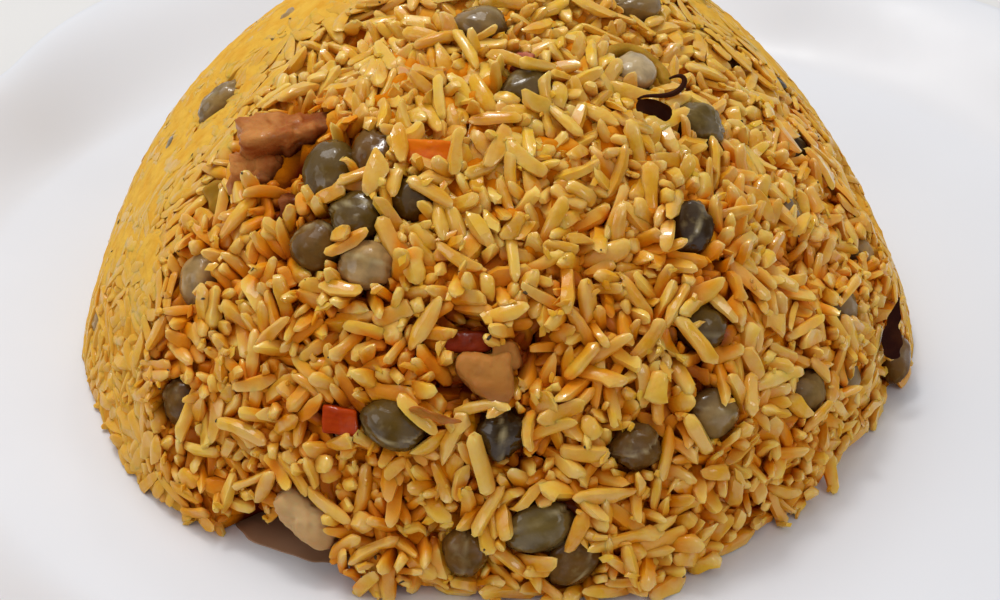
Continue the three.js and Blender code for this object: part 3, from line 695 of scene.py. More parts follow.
# A grain that the others press together by more than this is left out, as are those that fell.
MOST_CROWDED = 1.6
keep = (crowding < MOST_CROWDED) & ~gone
whole = np.flatnonzero(keep & (kind < 0.52))
broken = np.flatnonzero(keep & (kind >= 0.52) & (kind < 0.76))
burst = np.flatnonzero(keep & (kind >= 0.76))
third = np.digitize(middle[whole, 0], HEAP_MIDDLE[0] + [-22, 22])
rice = [
    grains("rice_whole_left", whole[third == 0]),
    grains("rice_whole_middle", whole[third == 1]),
    grains("rice_whole_right", whole[third == 2]),
    grains("rice_broken", broken, blunt=1.0),
    grains("rice_burst", burst, burst=1.0),
]


BIT_RINGS, BIT_SIDES = 2, 5


def bits(at, normal, size, stretch, thin, random):
    """Uneven little bodies: two rings of five uneven corners between two poles, drawn out along one
    way and flattened along the skin's normal."""
    tilt = unit(normal + random.normal(0, 0.5, normal.shape))
    wide = unit(np.cross(tilt, random.normal(size=normal.shape)))
    long = np.cross(tilt, wide)
    turn = 2 * np.pi * np.arange(BIT_SIDES) / BIT_SIDES
    uneven = size * random.uniform(0.6, 1.3, (len(at), BIT_RINGS, BIT_SIDES))
    level = np.array([-0.5, 0.5])[:, None]
    rings = (
        at[:, None, None]
        + (uneven * np.cos(turn) * stretch)[..., None] * long[:, None, None]
        + (uneven * np.sin(turn))[..., None] * wide[:, None, None]
        + (size * thin * level)[..., None] * tilt[:, None, None]
    )
    thick = size[:, 0] * thin * 0.9 * tilt
    return ringed_points(at - thick, rings, at + thick)


def rice_chips(count, random):
    """Chips knocked off the grains, caught between them where the rice is loose."""
    skins, depths = np.concatenate(grain_skins), np.concatenate(grain_depths)
    normals = under_skin(skins)[1]
    chosen = np.flatnonzero((depths > 0.3) & (depths < 2.4) & (looseness(skins, normals) > 0.3))
    chosen = random.choice(chosen, count, replace=False)
    size = random.uniform(0.3, 0.6, (count, 1, 1))
    points = bits(skins[chosen], normals[chosen], size, random.uniform(1.2, 3, (count, 1, 1)), 0.9, random)
    points[:, 2] = np.maximum(points[:, 2], WELL_TOP + 0.05)
    tone, zero = np.repeat(random.random(count), BIT_RINGS * BIT_SIDES + 2), np.zeros(len(points))
    loose = looseness(points, under_skin(points)[1])
    piece = build_mesh("rice_chips", points, ringed_faces(count, BIT_RINGS, BIT_SIDES), tone=tone,
                       depth=cover.depth(points), loose=loose, ends=zero, streak=zero)
    piece.data.set_sharp_from_angle(angle=np.radians(50))
    unroll(piece, count, BIT_RINGS, BIT_SIDES)
    return piece


rice.append(rice_chips(1100, random))

FILM_INPUTS = {"Scale": 300.0, "Bare": 0.5, "Wet": 0.7, "Wet Roughness": 0.15, "Dry Roughness": 0.45}


def wet_film():
    """Node group for the oil and broth that lie on moist food. A noise picks where the film lies:
    it is smooth and coated there, and duller between. A finer noise gives a low relief."""
    group = bpy.data.node_groups.new("wet_film", "ShaderNodeTree")
    for label, value in FILM_INPUTS.items():
        socket = group.interface.new_socket(label, in_out="INPUT", socket_type="NodeSocketFloat")
        socket.default_value = value
    for label in ("Film", "Roughness", "Height"):
        group.interface.new_socket(label, in_out="OUTPUT", socket_type="NodeSocketFloat")
    wiring = Wiring(group)
    given = wiring.node("NodeGroupInput").outputs
    film = wiring.span(wiring.noise(given["Scale"], 2.0), given["Bare"], given["Wet"])
    roughness = wiring.span(film, 0.0, 1.0, given["Dry Roughness"], given["Wet Roughness"])
    height = wiring.noise(wiring.times(given["Scale"], 2.6), 3.0)
    wiring.node("NodeGroupOutput", {"Film": film, "Roughness": roughness, "Height": height})
    return group


film_group = wet_film()


def moisten(finish, relief_mm, lit=None, **values):
    """Put the film group in a material and let it set roughness, coat and relief. Where a share is
    given, the coat is multiplied by it: little of the sky reaches what lies deep."""
    film = finish.node("ShaderNodeGroup", node_tree=film_group)
    for label, value in values.items():
        film.inputs[label.replace("_", " ").title()].default_value = value
    finish.feed("Roughness", film.outputs["Roughness"])
    coat = film.outputs["Film"]
    if lit is not None:
        coat = finish.times(coat, lit)
    finish.feed("Coat Weight", coat)
    finish.feed("Normal", finish.relief(film.outputs["Height"], relief_mm, 0.8))


boiled = Finish("boiled_rice", subsurface_weight=0.5, subsurface_scale=0.0009, specular_ior_level=0.08,
                coat_roughness=0.07, coat_ior=1.6)
boiled.shader.inputs["Subsurface Radius"].default_value = (1.0, 0.6, 0.25)
loose, depth = boiled.own("loose"), boiled.own("depth")
# Painted light: a sheen of light through the rim, paler where the grain is seen edge-on.
edge = boiled.node("ShaderNodeLayerWeight", {"Blend": 0.5}).outputs["Facing"]
# Painted shade: how deep a grain lies, counted more where the rice is loose, turns it orange and then brown.
lying_deep = boiled.times(depth, boiled.span(loose, 0.0, 0.8, 0.25, 1.0))
grain_colour = boiled.blend(boiled.own("tone"), paint(212, 150, 24), paint(228, 182, 56))
# Coats of paint over the grain's own tone, in order: what each follows, where it starts and is
# full, its share when full, and its paint. Pale patches and oily ones, pale tips that are painted
# light shining through the ends, streaks, pale edges that are a painted sheen where the grain is
# seen edge-on, an even tone where the bowl pressed, and orange and then brown painted shade where
# it lies deep.
for mask, start, full, share, coat in (
    (boiled.noise(420, 2.0), 0.45, 0.75, 0.45, (234, 200, 106)),
    (boiled.noise(90, 2.0), 0.5, 0.7, 0.5, (222, 140, 12)),
    (boiled.own("ends"), 0.3, 1.0, 0.45, (240, 210, 124)),
    (boiled.own("streak"), 0.35, 1.0, 0.45, (242, 212, 124)),
    (edge, 0.6, 0.95, 0.4, (238, 204, 112)),
    (loose, 0.75, 0.15, 0.72, (216, 160, 52)),
    (lying_deep, 0.3, 2.0, 0.85, (226, 132, 0)),
    (lying_deep, 2.2, 4.2, 0.85, (146, 46, 0)),
):
    grain_colour = boiled.blend(boiled.span(mask, start, full, 0, share), grain_colour, paint(*coat))
boiled.feed("Base Color", grain_colour)
open_air = boiled.times(boiled.span(lying_deep, 0.4, 1.8, 1, 0.1), boiled.span(loose, 0.1, 0.7, 0.2, 1))
moisten(boiled, 0.2, open_air, scale=360.0, bare=0.4, wet=0.56, wet_roughness=0.3, dry_roughness=0.55)
for piece in rice:
    piece.data.materials.append(boiled.material)
    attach(piece, "root")
    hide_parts("rice_heap")


CORE_SIDES = 240
CORE_BASE = WELL_TOP + 0.35


def core_points():
    """The rice that is too deep to see as grains: the dome, sunk under its skin by a little where
    pressed and by most of the shell where loose, with bumps the size of grains, and a flat base."""
    around = np.linspace(0, 360, CORE_SIDES, endpoint=False)
    up = 90 - np.linspace(0, 90, 76)[1:, None]
    skin, normal = dome(around + 0 * up, up + 0 * around)
    loose = looseness(skin, normal)
    shell = 3.6 - 0.4 * np.clip((normal[..., 2] - 0.6) / 0.3, 0, 1)
    depth = 0.3 + shell * loose + hollow_depth(skin).clip(0) * 0.8 - 0.8 * slid_out(skin)
    depth = depth + (0.06 + 0.8 * loose) * waves(skin, 5, 31)
    depth = depth + (0.1 + 0.3 * loose) * waves(skin, 2.4, 32)
    for hole in holes:
        depth = depth + 3.2 * np.exp(-((np.linalg.norm(skin - hole, axis=-1) / 2.9) ** 2))
    depth = depth + 8.0 * in_foot_gap(skin + [0, 0, 0.5]) ** 0.5
    rings = skin - normal * depth[..., None]
    rings[-1, :, 2] = CORE_BASE
    rings[..., 2] = np.maximum(rings[..., 2], CORE_BASE)
    top = rings[0].mean(0)
    middle = np.array([HEAP_MIDDLE[0], HEAP_MIDDLE[1], CORE_BASE])
    inner = middle + (rings[-1] - middle) * 0.5
    rings = np.concatenate([rings, inner[None]])
    return ringed_points(top[None], rings[None], middle[None]), len(rings)


points, rows = core_points()
core_depth, core_normal = under_skin(points)
rice_core = build_mesh("rice_core", points, ringed_faces(1, rows, CORE_SIDES),
                       loose=looseness(points, core_normal), depth=core_depth)
packed = Finish("packed_rice", roughness=0.75, specular_ior_level=0.05)
patches = packed.span(packed.noise(300, 3.0), 0.4, 0.7)
core_colour = packed.blend(patches, paint(228, 178, 68), paint(220, 158, 48))
# Painted shade: the core turns deep orange and then dark brown the deeper it lies under the skin, in the gaps
# between grains and in the arch at the foot.
core_colour = packed.blend(packed.span(packed.own("depth"), 0.9, 2.8), core_colour, paint(214, 122, 4))
core_colour = packed.blend(packed.span(packed.own("depth"), 3.2, 5.4), core_colour, paint(98, 24, 0))
packed.feed("Base Color", core_colour)
packed.feed("Normal", packed.relief(packed.noise(420, 3.0), 0.9, 0.9))
rice_core.data.materials.append(packed.material)
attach(rice_core, "root")
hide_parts("rice_heap")


SHADE_SHEET_RINGS, SHADE_SHEET_SIDES = 14, 72
SHADE_SHEET_HEIGHT = 0.33


def shade_sheet_points(rings, sides):
    """A thin brown sheet on the plate in the arch, painted shade and painted reflection of the rice:
    an oval with an uneven outline whose height falls from a third of a millimetre to nothing by the
    square of the way to its edge."""
    foot = dome(np.array(FOOT_GAP[0]), np.array(0.0))[0]
    outward = unit((foot - HEAP_MIDDLE) * [1, 1, 0])
    along = np.array([-outward[1], outward[0], 0])
    turn = 2 * np.pi * np.arange(sides) / sides
    share = np.linspace(0.08, 1, rings)[:, None]
    uneven = 1 + 0.05 * np.sin(3 * turn + 1) + 0.04 * np.sin(7 * turn) + 0.02 * np.sin(13 * turn)
    middle = foot - 6.8 * outward - 1.2 * along
    flat = middle * [1, 1, 0] + [0, 0, WELL_TOP]
    reach = share * uneven
    rings_at = (
        flat
        + (10.2 * reach * np.cos(turn))[..., None] * along
        + (4.0 * reach * np.sin(turn))[..., None] * outward
        + (0.03 + 0.3 * (1 - share**2) + 0 * turn)[..., None] * [0, 0, 1]
    )
    edge = rings_at[-1:] * [1, 1, 0] + [0, 0, WELL_TOP + 0.01]
    above, below = flat + [0, 0, SHADE_SHEET_HEIGHT], flat + [0, 0, 0.01]
    return ringed_points(above[None], np.concatenate([rings_at, edge])[None], below[None])


points = shade_sheet_points(SHADE_SHEET_RINGS, SHADE_SHEET_SIDES)
shade_sheet = build_mesh("painted_shade_sheet", points, ringed_faces(1, SHADE_SHEET_RINGS + 1, SHADE_SHEET_SIDES))
# Painted shade and painted reflection: this brown sheet stands for the shade under the arch and the rice's
# glow on the plate there.
shade_sheet_finish = Finish("painted_shade_sheet", roughness=0.3, specular_ior_level=0.4)
clouds = shade_sheet_finish.span(shade_sheet_finish.noise(120, 3.0), 0.35, 0.7)
shade_sheet_finish.feed("Base Color", shade_sheet_finish.blend(clouds, paint(170, 130, 100), paint(146, 108, 78)))
shade_sheet.data.materials.append(shade_sheet_finish.material)
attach(shade_sheet, "root")

# Pigeon peas --------------------------------------------------------------------------------
# Boiled gandules: egg-shaped seeds, olive and grey-green, whose skin has wrinkled and shines.

PEA_RINGS, PEA_SIDES = 22, 32
PEA_SKINS = {
    "olive": paint(92, 68, 22),
    "slate": paint(108, 88, 44),
    "dark": paint(50, 32, 8),
    "rosy": paint(176, 140, 86),
    "tan": paint(140, 110, 60),
    "pale": paint(190, 164, 120),
    "brown": paint(108, 74, 28),
}
PEA_KINDS = {
    "olive": (1, 2, 4, 25, 26, 27, 34, 40, 43),
    "slate": (6, 8, 14, 28, 39, 42),
    "dark": (19, 20, 23, 29, 38),
    "rosy": (3, 10, 17, 31, 37, 41),
    "tan": (11, 12, 13, 21, 30, 32, 35, 36),
    "pale": (18,),
    "brown": (5, 7, 9, 15, 16, 22, 24, 33),
}
# Peas whose skin hangs in wrinkles, and peas whose skin has burst open along a ridge.
LIMP_PEAS = (8, 13, 15, 20, 22, 35)
RIDGED_PEAS = (2, 4, 6, 22)
# Peas that stand out of the rice, by how many millimetres.
PROUD_PEAS = {8: 0.5, 9: 0.8, 12: 1.2, 13: 1.4, 16: 0.4, 18: 0.9}


def unit_ball(rings, sides):
    """Points of a ball of radius one: a pole, rings round the first axis, and the other pole."""
    polar = np.pi * np.arange(1, rings + 1)[:, None] / (rings + 1)
    turn = 2 * np.pi * np.arange(sides) / sides
    width = np.sin(polar)
    ball = np.stack([-np.cos(polar) + 0 * turn, width * np.cos(turn), width * np.sin(turn)], -1)
    return np.concatenate([[[-1.0, 0, 0]], ball.reshape(-1, 3), [[1.0, 0, 0]]])


def pea_bodies(names, random):
    """Egg-shaped bodies, all at once. A body is a ball, wider towards one end and flatter than it
    is wide, dented by long wrinkles that run over it and by one crease where the skin has slipped,
    and scaled to its seat."""
    ball = unit_ball(PEA_RINGS, PEA_SIDES)
    bodies, ridges = [], []
    for number, name in enumerate(names):
        middle, axes, half = seats[name]
        pea = int(name[-2:])
        middle = middle + PROUD_PEAS.get(pea, 0) * axes[2]
        wrinkle = waves(ball * [1, 1.6, 1.6], 1.5, 100 + number)
        fine = np.abs(waves(ball * [1, 2.2, 2.2], 0.8, 200 + number))
        across = unit(np.array([0.25 * random.normal(), 1, 0.5 * random.normal()]))
        slant = ball @ across - random.uniform(-0.2, 0.3)
        crease = np.exp(-((slant / 0.07) ** 2)) * random.uniform(0.0, 1.0)
        ridge = random.choice([0, 0.5, 1.0])
        limp = 2.0 if pea in LIMP_PEAS else 1.0
        if pea in RIDGED_PEAS:
            crease, ridge = np.exp(-((slant / 0.07) ** 2)) * 1.3, 1.0
        ridges.append(np.exp(-(((slant - 0.09) / 0.06) ** 2)) * ridge)
        swell = 1 + limp * (0.045 * wrinkle - 0.05 * fine) - 0.08 * crease + 0.03 * (slant > 0)
        shape = ball * swell[:, None]
        shape[:, 1:] *= (1 + 0.1 * ball[:, :1]) * (1.02 - 0.04 * ball[:, :1] ** 2)
        bodies.append(middle + (shape * half * 1.02) @ axes)
    return np.concatenate(bodies), np.concatenate(ridges)


pea_names = [name for name in seats if name.startswith("pigeon_pea")]
random = np.random.default_rng(12)
pea_paints = {name: PEA_SKINS[kind] for kind, numbers in PEA_KINDS.items() for name in peas_named(*numbers)}
pea_colours = np.array([pea_paints[name] for name in pea_names])
each = PEA_RINGS * PEA_SIDES + 2
points, ridges = pea_bodies(pea_names, random)
peas = build_mesh("pigeon_peas", points, ringed_faces(len(pea_names), PEA_RINGS, PEA_SIDES),
                  skin=np.repeat(pea_colours, each, 0), ridge=ridges, depth=under_skin(points)[0])
skin = Finish("pea_skin", coat_roughness=0.08, specular_ior_level=0.07)
pea_colour = skin.own("skin", "Color")
# Over a pea's own colour: dark blotches, pale flecks, the pale flesh in a burst ridge, and a dark
# brown painted shade where it lies deep in the rice.
for mask, start, full, share, coat in (
    (skin.noise(300, 4.0), 0.45, 0.7, 0.55, (70, 52, 22)),
    (skin.noise(700, 3.0), 0.55, 0.75, 0.35, (150, 128, 82)),
    (skin.own("ridge"), 0, 1, 0.6, (190, 172, 126)),
    # Painted shade: darker brown the deeper the pea lies under the skin.
    (skin.own("depth"), 0.6, 3.6, 0.9, (66, 30, 2)),
):
    pea_colour = skin.blend(skin.span(mask, start, full, 0, share), pea_colour, paint(*coat))
skin.feed("Base Color", pea_colour)
moisten(skin, 0.25, skin.span(skin.own("depth"), 0.6, 3.0, 1, 0.1),
        scale=260.0, bare=0.42, wet=0.6, wet_roughness=0.2, dry_roughness=0.45)
peas.data.materials.append(skin.material)
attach(peas, "root")
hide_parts(*pea_names)

# Ham, pork and cut vegetables ---------------------------------------------------------------
# Small pieces of cooking ham, stewed pork and its fat, diced carrot and pepper: cut with a knife,
# then rounded and shrunk a little by boiling.

# Right, rising and outward, as the diner looks down on the heap.
DINER = np.array([[1, 0, 0], [0, 0.58, 0.81], [0, -0.81, 0.58]])
BLOCK_RINGS, BLOCK_SIDES = 36, 48


def cut_block(planes, edge, rough, seed):
    """A lump cut along planes: each is a direction and its distance from the middle. The lump's
    reach in any way is one over the power mean of that way's shares along the planes, and a high
    power keeps the edges sharp. Waves of two lengths make it uneven."""
    planes = np.array(planes)
    ball = unit_ball(BLOCK_RINGS, BLOCK_SIDES)
    share = np.maximum(ball @ unit(planes[:, :3]).T / planes[:, 3], 0)
    shape = ball * ((share**edge).sum(-1) ** (-1 / edge))[:, None]
    uneven = 0.5 * waves(shape, 3.5, seed) + 0.22 * waves(shape, 1.1, seed + 1)
    return shape + ball * (rough * uneven)[:, None]


def lay_blocks(name, node, finish, slot, *blocks):
    """One piece of all blocks, each moved by its shift from the middle of the solid it stands for."""
    points = np.concatenate([seats[node][0] + (shape + shift) @ DINER for shape, shift in blocks])
    faces = ringed_faces(len(blocks), BLOCK_RINGS, BLOCK_SIDES)
    piece = build_mesh(name, points, faces, depth=under_skin(points)[0])
    piece.data.materials.append(finish.material)
    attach(piece, "root")
    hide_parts(node)


def cut_flesh(name, light, dark, painted_shade, scale, relief_mm, **sockets):
    """Material of a cut lump: two paints in a noise, darkened to a third paint, a painted shade, where it
    lies deep.
    """
    flesh = Finish(name, specular_ior_level=0.08, coat_roughness=0.1, **sockets)
    place = flesh.node("ShaderNodeTexCoord").outputs["Object"]
    turned = {"Vector": place, "Rotation": (0.3, 0.6, 0.4), "Scale": (1, 1, 3)}
    along = flesh.node("ShaderNodeMapping", turned).outputs["Vector"]
    colour = flesh.blend(flesh.span(flesh.noise(scale, 5.0, along), 0.35, 0.7), light, dark)
    # Painted shade: the lump turns to the third paint where it lies deep in the rice.
    colour = flesh.blend(flesh.span(flesh.own("depth"), 1.4, 3.8, 0, 0.95), colour, painted_shade)
    flesh.feed("Base Color", colour)
    moisten(flesh, relief_mm, flesh.span(flesh.own("depth"), 1.0, 3.6, 1, 0.1),
            scale=scale * 1.6, bare=0.55, wet=0.75, wet_roughness=0.25, dry_roughness=0.5)
    return flesh


ham_flesh = cut_flesh("ham_flesh", paint(196, 130, 66), paint(150, 76, 28), paint(60, 6, 0), 200, 0.5,
                      subsurface_weight=0.2, subsurface_scale=0.001)
slab = [
    (-0.05, 0.78, 0.62, 2.5), (-1, -0.1, 0.2, 7.0), (1, 0.3, 0.1, 9.0), (0.25, -0.75, 0.6, 1.9),
    (0, -0.5, -0.85, 2.4), (0, 0.6, -0.8, 3.2),
]
corner = [
    (-1, 0, 0.1, 3.9), (1, -0.3, 0.1, 3.6), (0, 1, 0.2, 3.0), (0.1, -1, 0.1, 4.0),
    (0.1, -0.15, 1, 1.9), (0, 0, -1, 2.6),
]
lay_blocks("ham_large_piece", "ham_large", ham_flesh, "ham",
           (cut_block(slab, 8, 0.7, 41), (1.3, 1.0, 1.0)), (cut_block(corner, 5, 0.8, 44), (-3.4, -4.3, 0.7)))
crumb = [
    (-1, 0.1, 0, 1.7), (1, 0, 0.1, 1.7), (0.1, 1, 0.2, 1.6), (0, -1, 0.1, 1.7), (0.1, -0.1, 1, 1.5),
    (0, 0, -1, 1.8),
]
brown_ham = cut_flesh("ham_edge", paint(150, 86, 40), paint(108, 50, 20), paint(70, 20, 4), 260, 0.4,
                      subsurface_weight=0.1, subsurface_scale=0.001)
lay_blocks("ham_small_piece", "ham_small", brown_ham, "ham", (cut_block(crumb, 6, 0.5, 42), (0, -0.2, 0)))
pink_ham = cut_flesh("ham_crumb", paint(206, 132, 104), paint(172, 88, 62), paint(110, 30, 10), 260, 0.4,
                     subsurface_weight=0.25, subsurface_scale=0.001)
lay_blocks("ham_pink_piece", "ham_pink", pink_ham, "ham", (cut_block(crumb, 5, 0.5, 43), (0.3, -0.4, 0)))

pork_flesh = cut_flesh("pork_flesh", paint(184, 124, 58), paint(158, 94, 34), paint(100, 44, 8), 110, 0.3,
                       subsurface_weight=0.3, subsurface_scale=0.0015)
wedge = [
    (0, 1, 0.1, 2.8), (1, 0.03, 0.1, 4.0), (-1, 0.15, 0, 3.6), (-0.72, -0.69, 0.15, 2.3),
    (0.1, -1, 0, 4.4), (-0.05, 0.12, 1, 2.3), (0, 0, -1, 2.6),
]
shoulder = [
    (1, 0.2, 0.1, 1.9), (-1, 0, 0, 1.9), (0.1, 1, 0.1, 1.7), (0, -1, 0, 2.2), (0.2, -0.1, 1, 1.7),
    (0, 0, -1, 2.2),
]
lay_blocks("pork_wedge", "pork", pork_flesh, "pork",
           (cut_block(wedge, 7, 0.4, 51), (0.1, 0, 0)), (cut_block(shoulder, 4, 0.3, 53), (3.2, 2.6, -0.6)))
fat_flesh = cut_flesh("pork_fat_flesh", paint(204, 168, 116), paint(184, 144, 92), paint(150, 100, 56),
                      90, 0.12, subsurface_weight=0.4, subsurface_scale=0.002)
strip = [
    (0.72, -0.69, 0, 5.4), (-0.72, 0.69, 0, 4.6), (0.69, 0.72, 0.1, 2.4), (-0.69, -0.72, 0.1, 2.6),
    (0, 0, 1, 2.5), (0, 0, -1, 3),
]
lay_blocks("pork_fat_strip", "pork_fat", fat_flesh, "pork",
           (cut_block(strip, 3.5, 0.5, 52), (0.4, -0.2, 0.3)))

carrot_flesh = cut_flesh("carrot_flesh", paint(224, 118, 4), paint(206, 92, 0), paint(120, 20, 0), 260, 0.15,
                         subsurface_weight=0.15, subsurface_scale=0.0008)
dice = [
    (1, 0.1, 0, 2.4), (-1, 0, 0.1, 2.4), (0.15, 1, 0.1, 1.8), (-0.1, -1, 0, 1.9),
    (-0.2, 0.1, 1, 1.6), (0, 0, -1, 1.7),
]
stick = [
    (1, 0, 0, 3.4), (-1, -0.1, 0, 3.3), (0.05, 1, 0.1, 1.8), (0, -1, 0.1, 1.8), (0, 0.15, 1, 1.6),
    (0, 0, -1, 1.7),
]
# Painted shade: a darker copy of the carrot's flesh, for the dice at the front that lies in shade.
shaded_carrot = cut_flesh("shaded_carrot", paint(176, 60, 0), paint(152, 42, 0), paint(96, 18, 0), 260, 0.15,
                        subsurface_weight=0.1, subsurface_scale=0.0008)
lay_blocks("carrot_front_dice", "carrot_front", shaded_carrot, "carrot",
           (cut_block(dice, 18, 0.12, 61), (0, 0, 0.1)))
lay_blocks("carrot_top_dice", "carrot_top", carrot_flesh, "carrot",
           (cut_block(stick, 12, 0.2, 62), (0, 0, 0.2)))

pimiento_flesh = cut_flesh("pimiento_flesh", paint(156, 56, 10), paint(116, 28, 4), paint(70, 8, 0), 220, 0.3,
                           subsurface_weight=0.2, subsurface_scale=0.001)
ribbon = [
    (1, 0.1, 0, 3.3), (-1, 0.2, 0, 3.3), (0.1, 1, 0.2, 1.4), (0, -1, 0.1, 1.4), (0, 0.3, 1, 1.0),
    (0, 0, -1, 1.2),
]
lay_blocks("pimiento_strip", "pimiento", pimiento_flesh, "pimiento",
           (cut_block(ribbon, 5, 0.35, 71), (0, -2.0, 0.7)))

green_flesh = cut_flesh("green_flesh", paint(178, 136, 40), paint(150, 108, 20), paint(110, 74, 6), 200, 0.2,
                        subsurface_weight=0.4, subsurface_scale=0.0018)
square = [
    (0.9, 0.4, 0, 1.7), (-0.9, -0.4, 0.1, 1.8), (-0.4, 0.9, 0.1, 2.6), (0.4, -0.9, 0, 2.6),
    (0, 0.1, 1, 1.1), (0, 0, -1, 1.1),
]
lay_blocks("green_pepper_strip", "green_pepper", green_flesh, "green_vegetable",
           (cut_block(square, 8, 0.3, 81), (0, 0, 0.2)))

# Olive --------------------------------------------------------------------------------------
# Part of a ring cut from a pitted green olive, lying round a pale pea.

OLIVE_RADII = (4.0, 5.8)
OLIVE_DEPTH = 2.4
OLIVE_ARC = (-70, 130)  # degrees
OLIVE_RINGS, OLIVE_SIDES = 44, 24


def olive_points(rings, sides):
    """A rounded rectangle carried round the arc: the section's two coordinates are powers of a
    circle's, it shrinks to nothing at both cut ends, and waves make it uneven."""
    level, rise, normal = dome_frame(seats["pigeon_pea_18"][0])
    centre = seats["pigeon_pea_18"][0] + 0.6 * normal
    share = np.linspace(0, 1, rings)[:, None]
    arc = np.radians(OLIVE_ARC[0] + (OLIVE_ARC[1] - OLIVE_ARC[0]) * share)
    turn = 2 * np.pi * np.arange(sides) / sides
    end = (1 - np.abs(2 * share - 1) ** 14) ** 0.5
    across = np.sign(np.cos(turn)) * np.abs(np.cos(turn)) ** 0.6 * end
    over = np.sign(np.sin(turn)) * np.abs(np.sin(turn)) ** 0.7 * end
    middle_radius, half_width = np.mean(OLIVE_RADII), (OLIVE_RADII[1] - OLIVE_RADII[0]) / 2
    radius = middle_radius + half_width * across * (1 + 0.12 * np.sin(5 * arc))
    height = OLIVE_DEPTH / 2 * over + 0.25 * np.sin(2 * arc)
    rings_at = centre + radius[..., None] * (np.cos(arc)[..., None] * level + np.sin(arc)[..., None] * rise)
    rings_at = rings_at + height[..., None] * normal
    rings_at = rings_at + unit(normal) * (0.1 * waves(rings_at, 2.5, 91))[..., None]
    return ringed_points(rings_at[0].mean(0)[None], rings_at[None], rings_at[-1].mean(0)[None])


points = olive_points(OLIVE_RINGS, OLIVE_SIDES)
faces = ringed_faces(1, OLIVE_RINGS, OLIVE_SIDES)
olive = build_mesh("olive_slice_ring", points, faces, depth=under_skin(points)[0])
olive.data.materials.append(green_flesh.material)
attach(olive, "root")
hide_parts("olive_slice")

# Leaves and onion ---------------------------------------------------------------------------
# Culantro leaf, boiled dark and limp, and a thread of onion that has turned to clear jelly.


def blade(name, node, base, tip, roll, wave, seed, place=None, thickness=0.5, rings=36, sides=22):
    """A thin blade along its seat's long axis, or laid on given axes with given half sizes. Its
    half width goes from base to tip, in shares of the seat's, by a rounded outline; it waves along
    its length, and both edges roll up on an arc."""
    middle, axes, half = seats[node]
    if place is not None:
        axes, half = unit(np.array(place[0])) @ DINER, np.array(place[1])
        axes[2] = np.cross(axes[0], axes[1])
    share = np.linspace(0, 1, rings)[:, None]
    turn = 2 * np.pi * np.arange(sides) / sides
    outline = (base + (tip - base) * share) * (1 - np.abs(2 * share - 1) ** 3) ** 0.5
    ragged = 1 + 0.12 * np.sin(17 * share + seed) + 0.07 * np.sin(31 * share)
    across = np.cos(turn) * outline * ragged
    bend = np.maximum(roll, 1e-3)
    wide = half[1] * np.sin(bend * across) / bend
    lift = half[1] * (1 - np.cos(bend * across)) / bend
    along = half[0] * (2 * share - 1) + 0 * turn
    out = lift + wave * np.sin(6 * share + seed) * half[2] + np.sin(turn) * thickness / 2 * outline**0.3
    out = out + 0.1 * np.sin(14 * share + 4 * across)
    local = np.stack([along, wide + 0.15 * half[1] * np.sin(4 * share), out - 0.3 * half[2]], -1)
    rings_at = middle + local @ axes
    points = ringed_points(rings_at[0].mean(0)[None], rings_at[None], rings_at[-1].mean(0)[None])
    piece = build_mesh(name, points, ringed_faces(1, rings, sides), depth=under_skin(points)[0])
    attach(piece, "root")
    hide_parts(node)
    return piece


STEM_RINGS, STEM_SIDES = 30, 10


def stem_points(path, radius, rings, sides):
    """A thin round stalk along a path of points, tapered to both ends, on a smooth curve through
    them: each coordinate is fitted by a polynomial of the fifth degree along the path."""
    share = np.linspace(0, 1, rings)
    steps = np.linspace(0, 1, len(path))
    line = np.stack([np.polyval(np.polyfit(steps, part, 5), share) for part in path.T], 1)
    along = unit(np.gradient(line, axis=0))
    wide = unit(np.cross(along, [0.3, -0.6, 0.7]))
    thick = np.cross(along, wide)
    turn = 2 * np.pi * np.arange(sides) / sides
    size = radius * (0.35 + 0.65 * np.sin(np.pi * share)[:, None]) + 0 * turn
    around = np.cos(turn)[:, None] * wide[:, None] + np.sin(turn)[:, None] * thick[:, None]
    rings_at = line[:, None] + size[..., None] * around
    return ringed_points(line[:1], rings_at[None], line[-1:])


leaf_blade = Finish("leaf_blade", roughness=0.5, specular_ior_level=0.04)
clouds = leaf_blade.span(leaf_blade.noise(260), 0.35, 0.7)
leaf_blade.feed("Base Color", leaf_blade.blend(clouds, paint(40, 12, 6), paint(60, 28, 10)))
leaf_blade.feed("Normal", leaf_blade.relief(leaf_blade.noise(900), 0.2, 0.7))
curled_place = ([(1, -0.25, 0.1), (0.2, 0.95, 0.3), (0, 0, 1)], (2.6, 1.9, 0.8))
purple_place = ([(0.12, 1, -0.1), (-1, 0.1, 0.25), (0, 0, 1)], (4.9, 2.2, 0.8))
leaves = [
    blade("leaf_curled_blade", "leaf_curled", 0.7, 1.1, 1.7, 0.3, 1, curled_place),
    blade("leaf_purple_blade", "leaf_purple", 1.1, 0.12, 0.5, 0.3, 2, purple_place),
    blade("leaf_small_blade", "leaf_small", 0.8, 0.7, 0.5, 0.3, 3),
]
curl_middle = seats["leaf_curled"][0]
hook = [
    (-2.4, 1.2, 0.9), (-0.6, 1.7, 1.2), (1.4, 1.7, 1.3), (2.9, 2.2, 1.3), (3.9, 3.2, 1.2),
    (4.1, 4.1, 1.1), (3.2, 4.5, 1.0), (2.0, 4.1, 0.8),
]
points = stem_points(curl_middle + np.array(hook) @ DINER, 0.42, STEM_RINGS, STEM_SIDES)
stem = build_mesh("leaf_curled_stem", points, ringed_faces(1, STEM_RINGS, STEM_SIDES))
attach(stem, "root")
for leaf in (*leaves, stem):
    leaf.data.materials.append(leaf_blade.material)

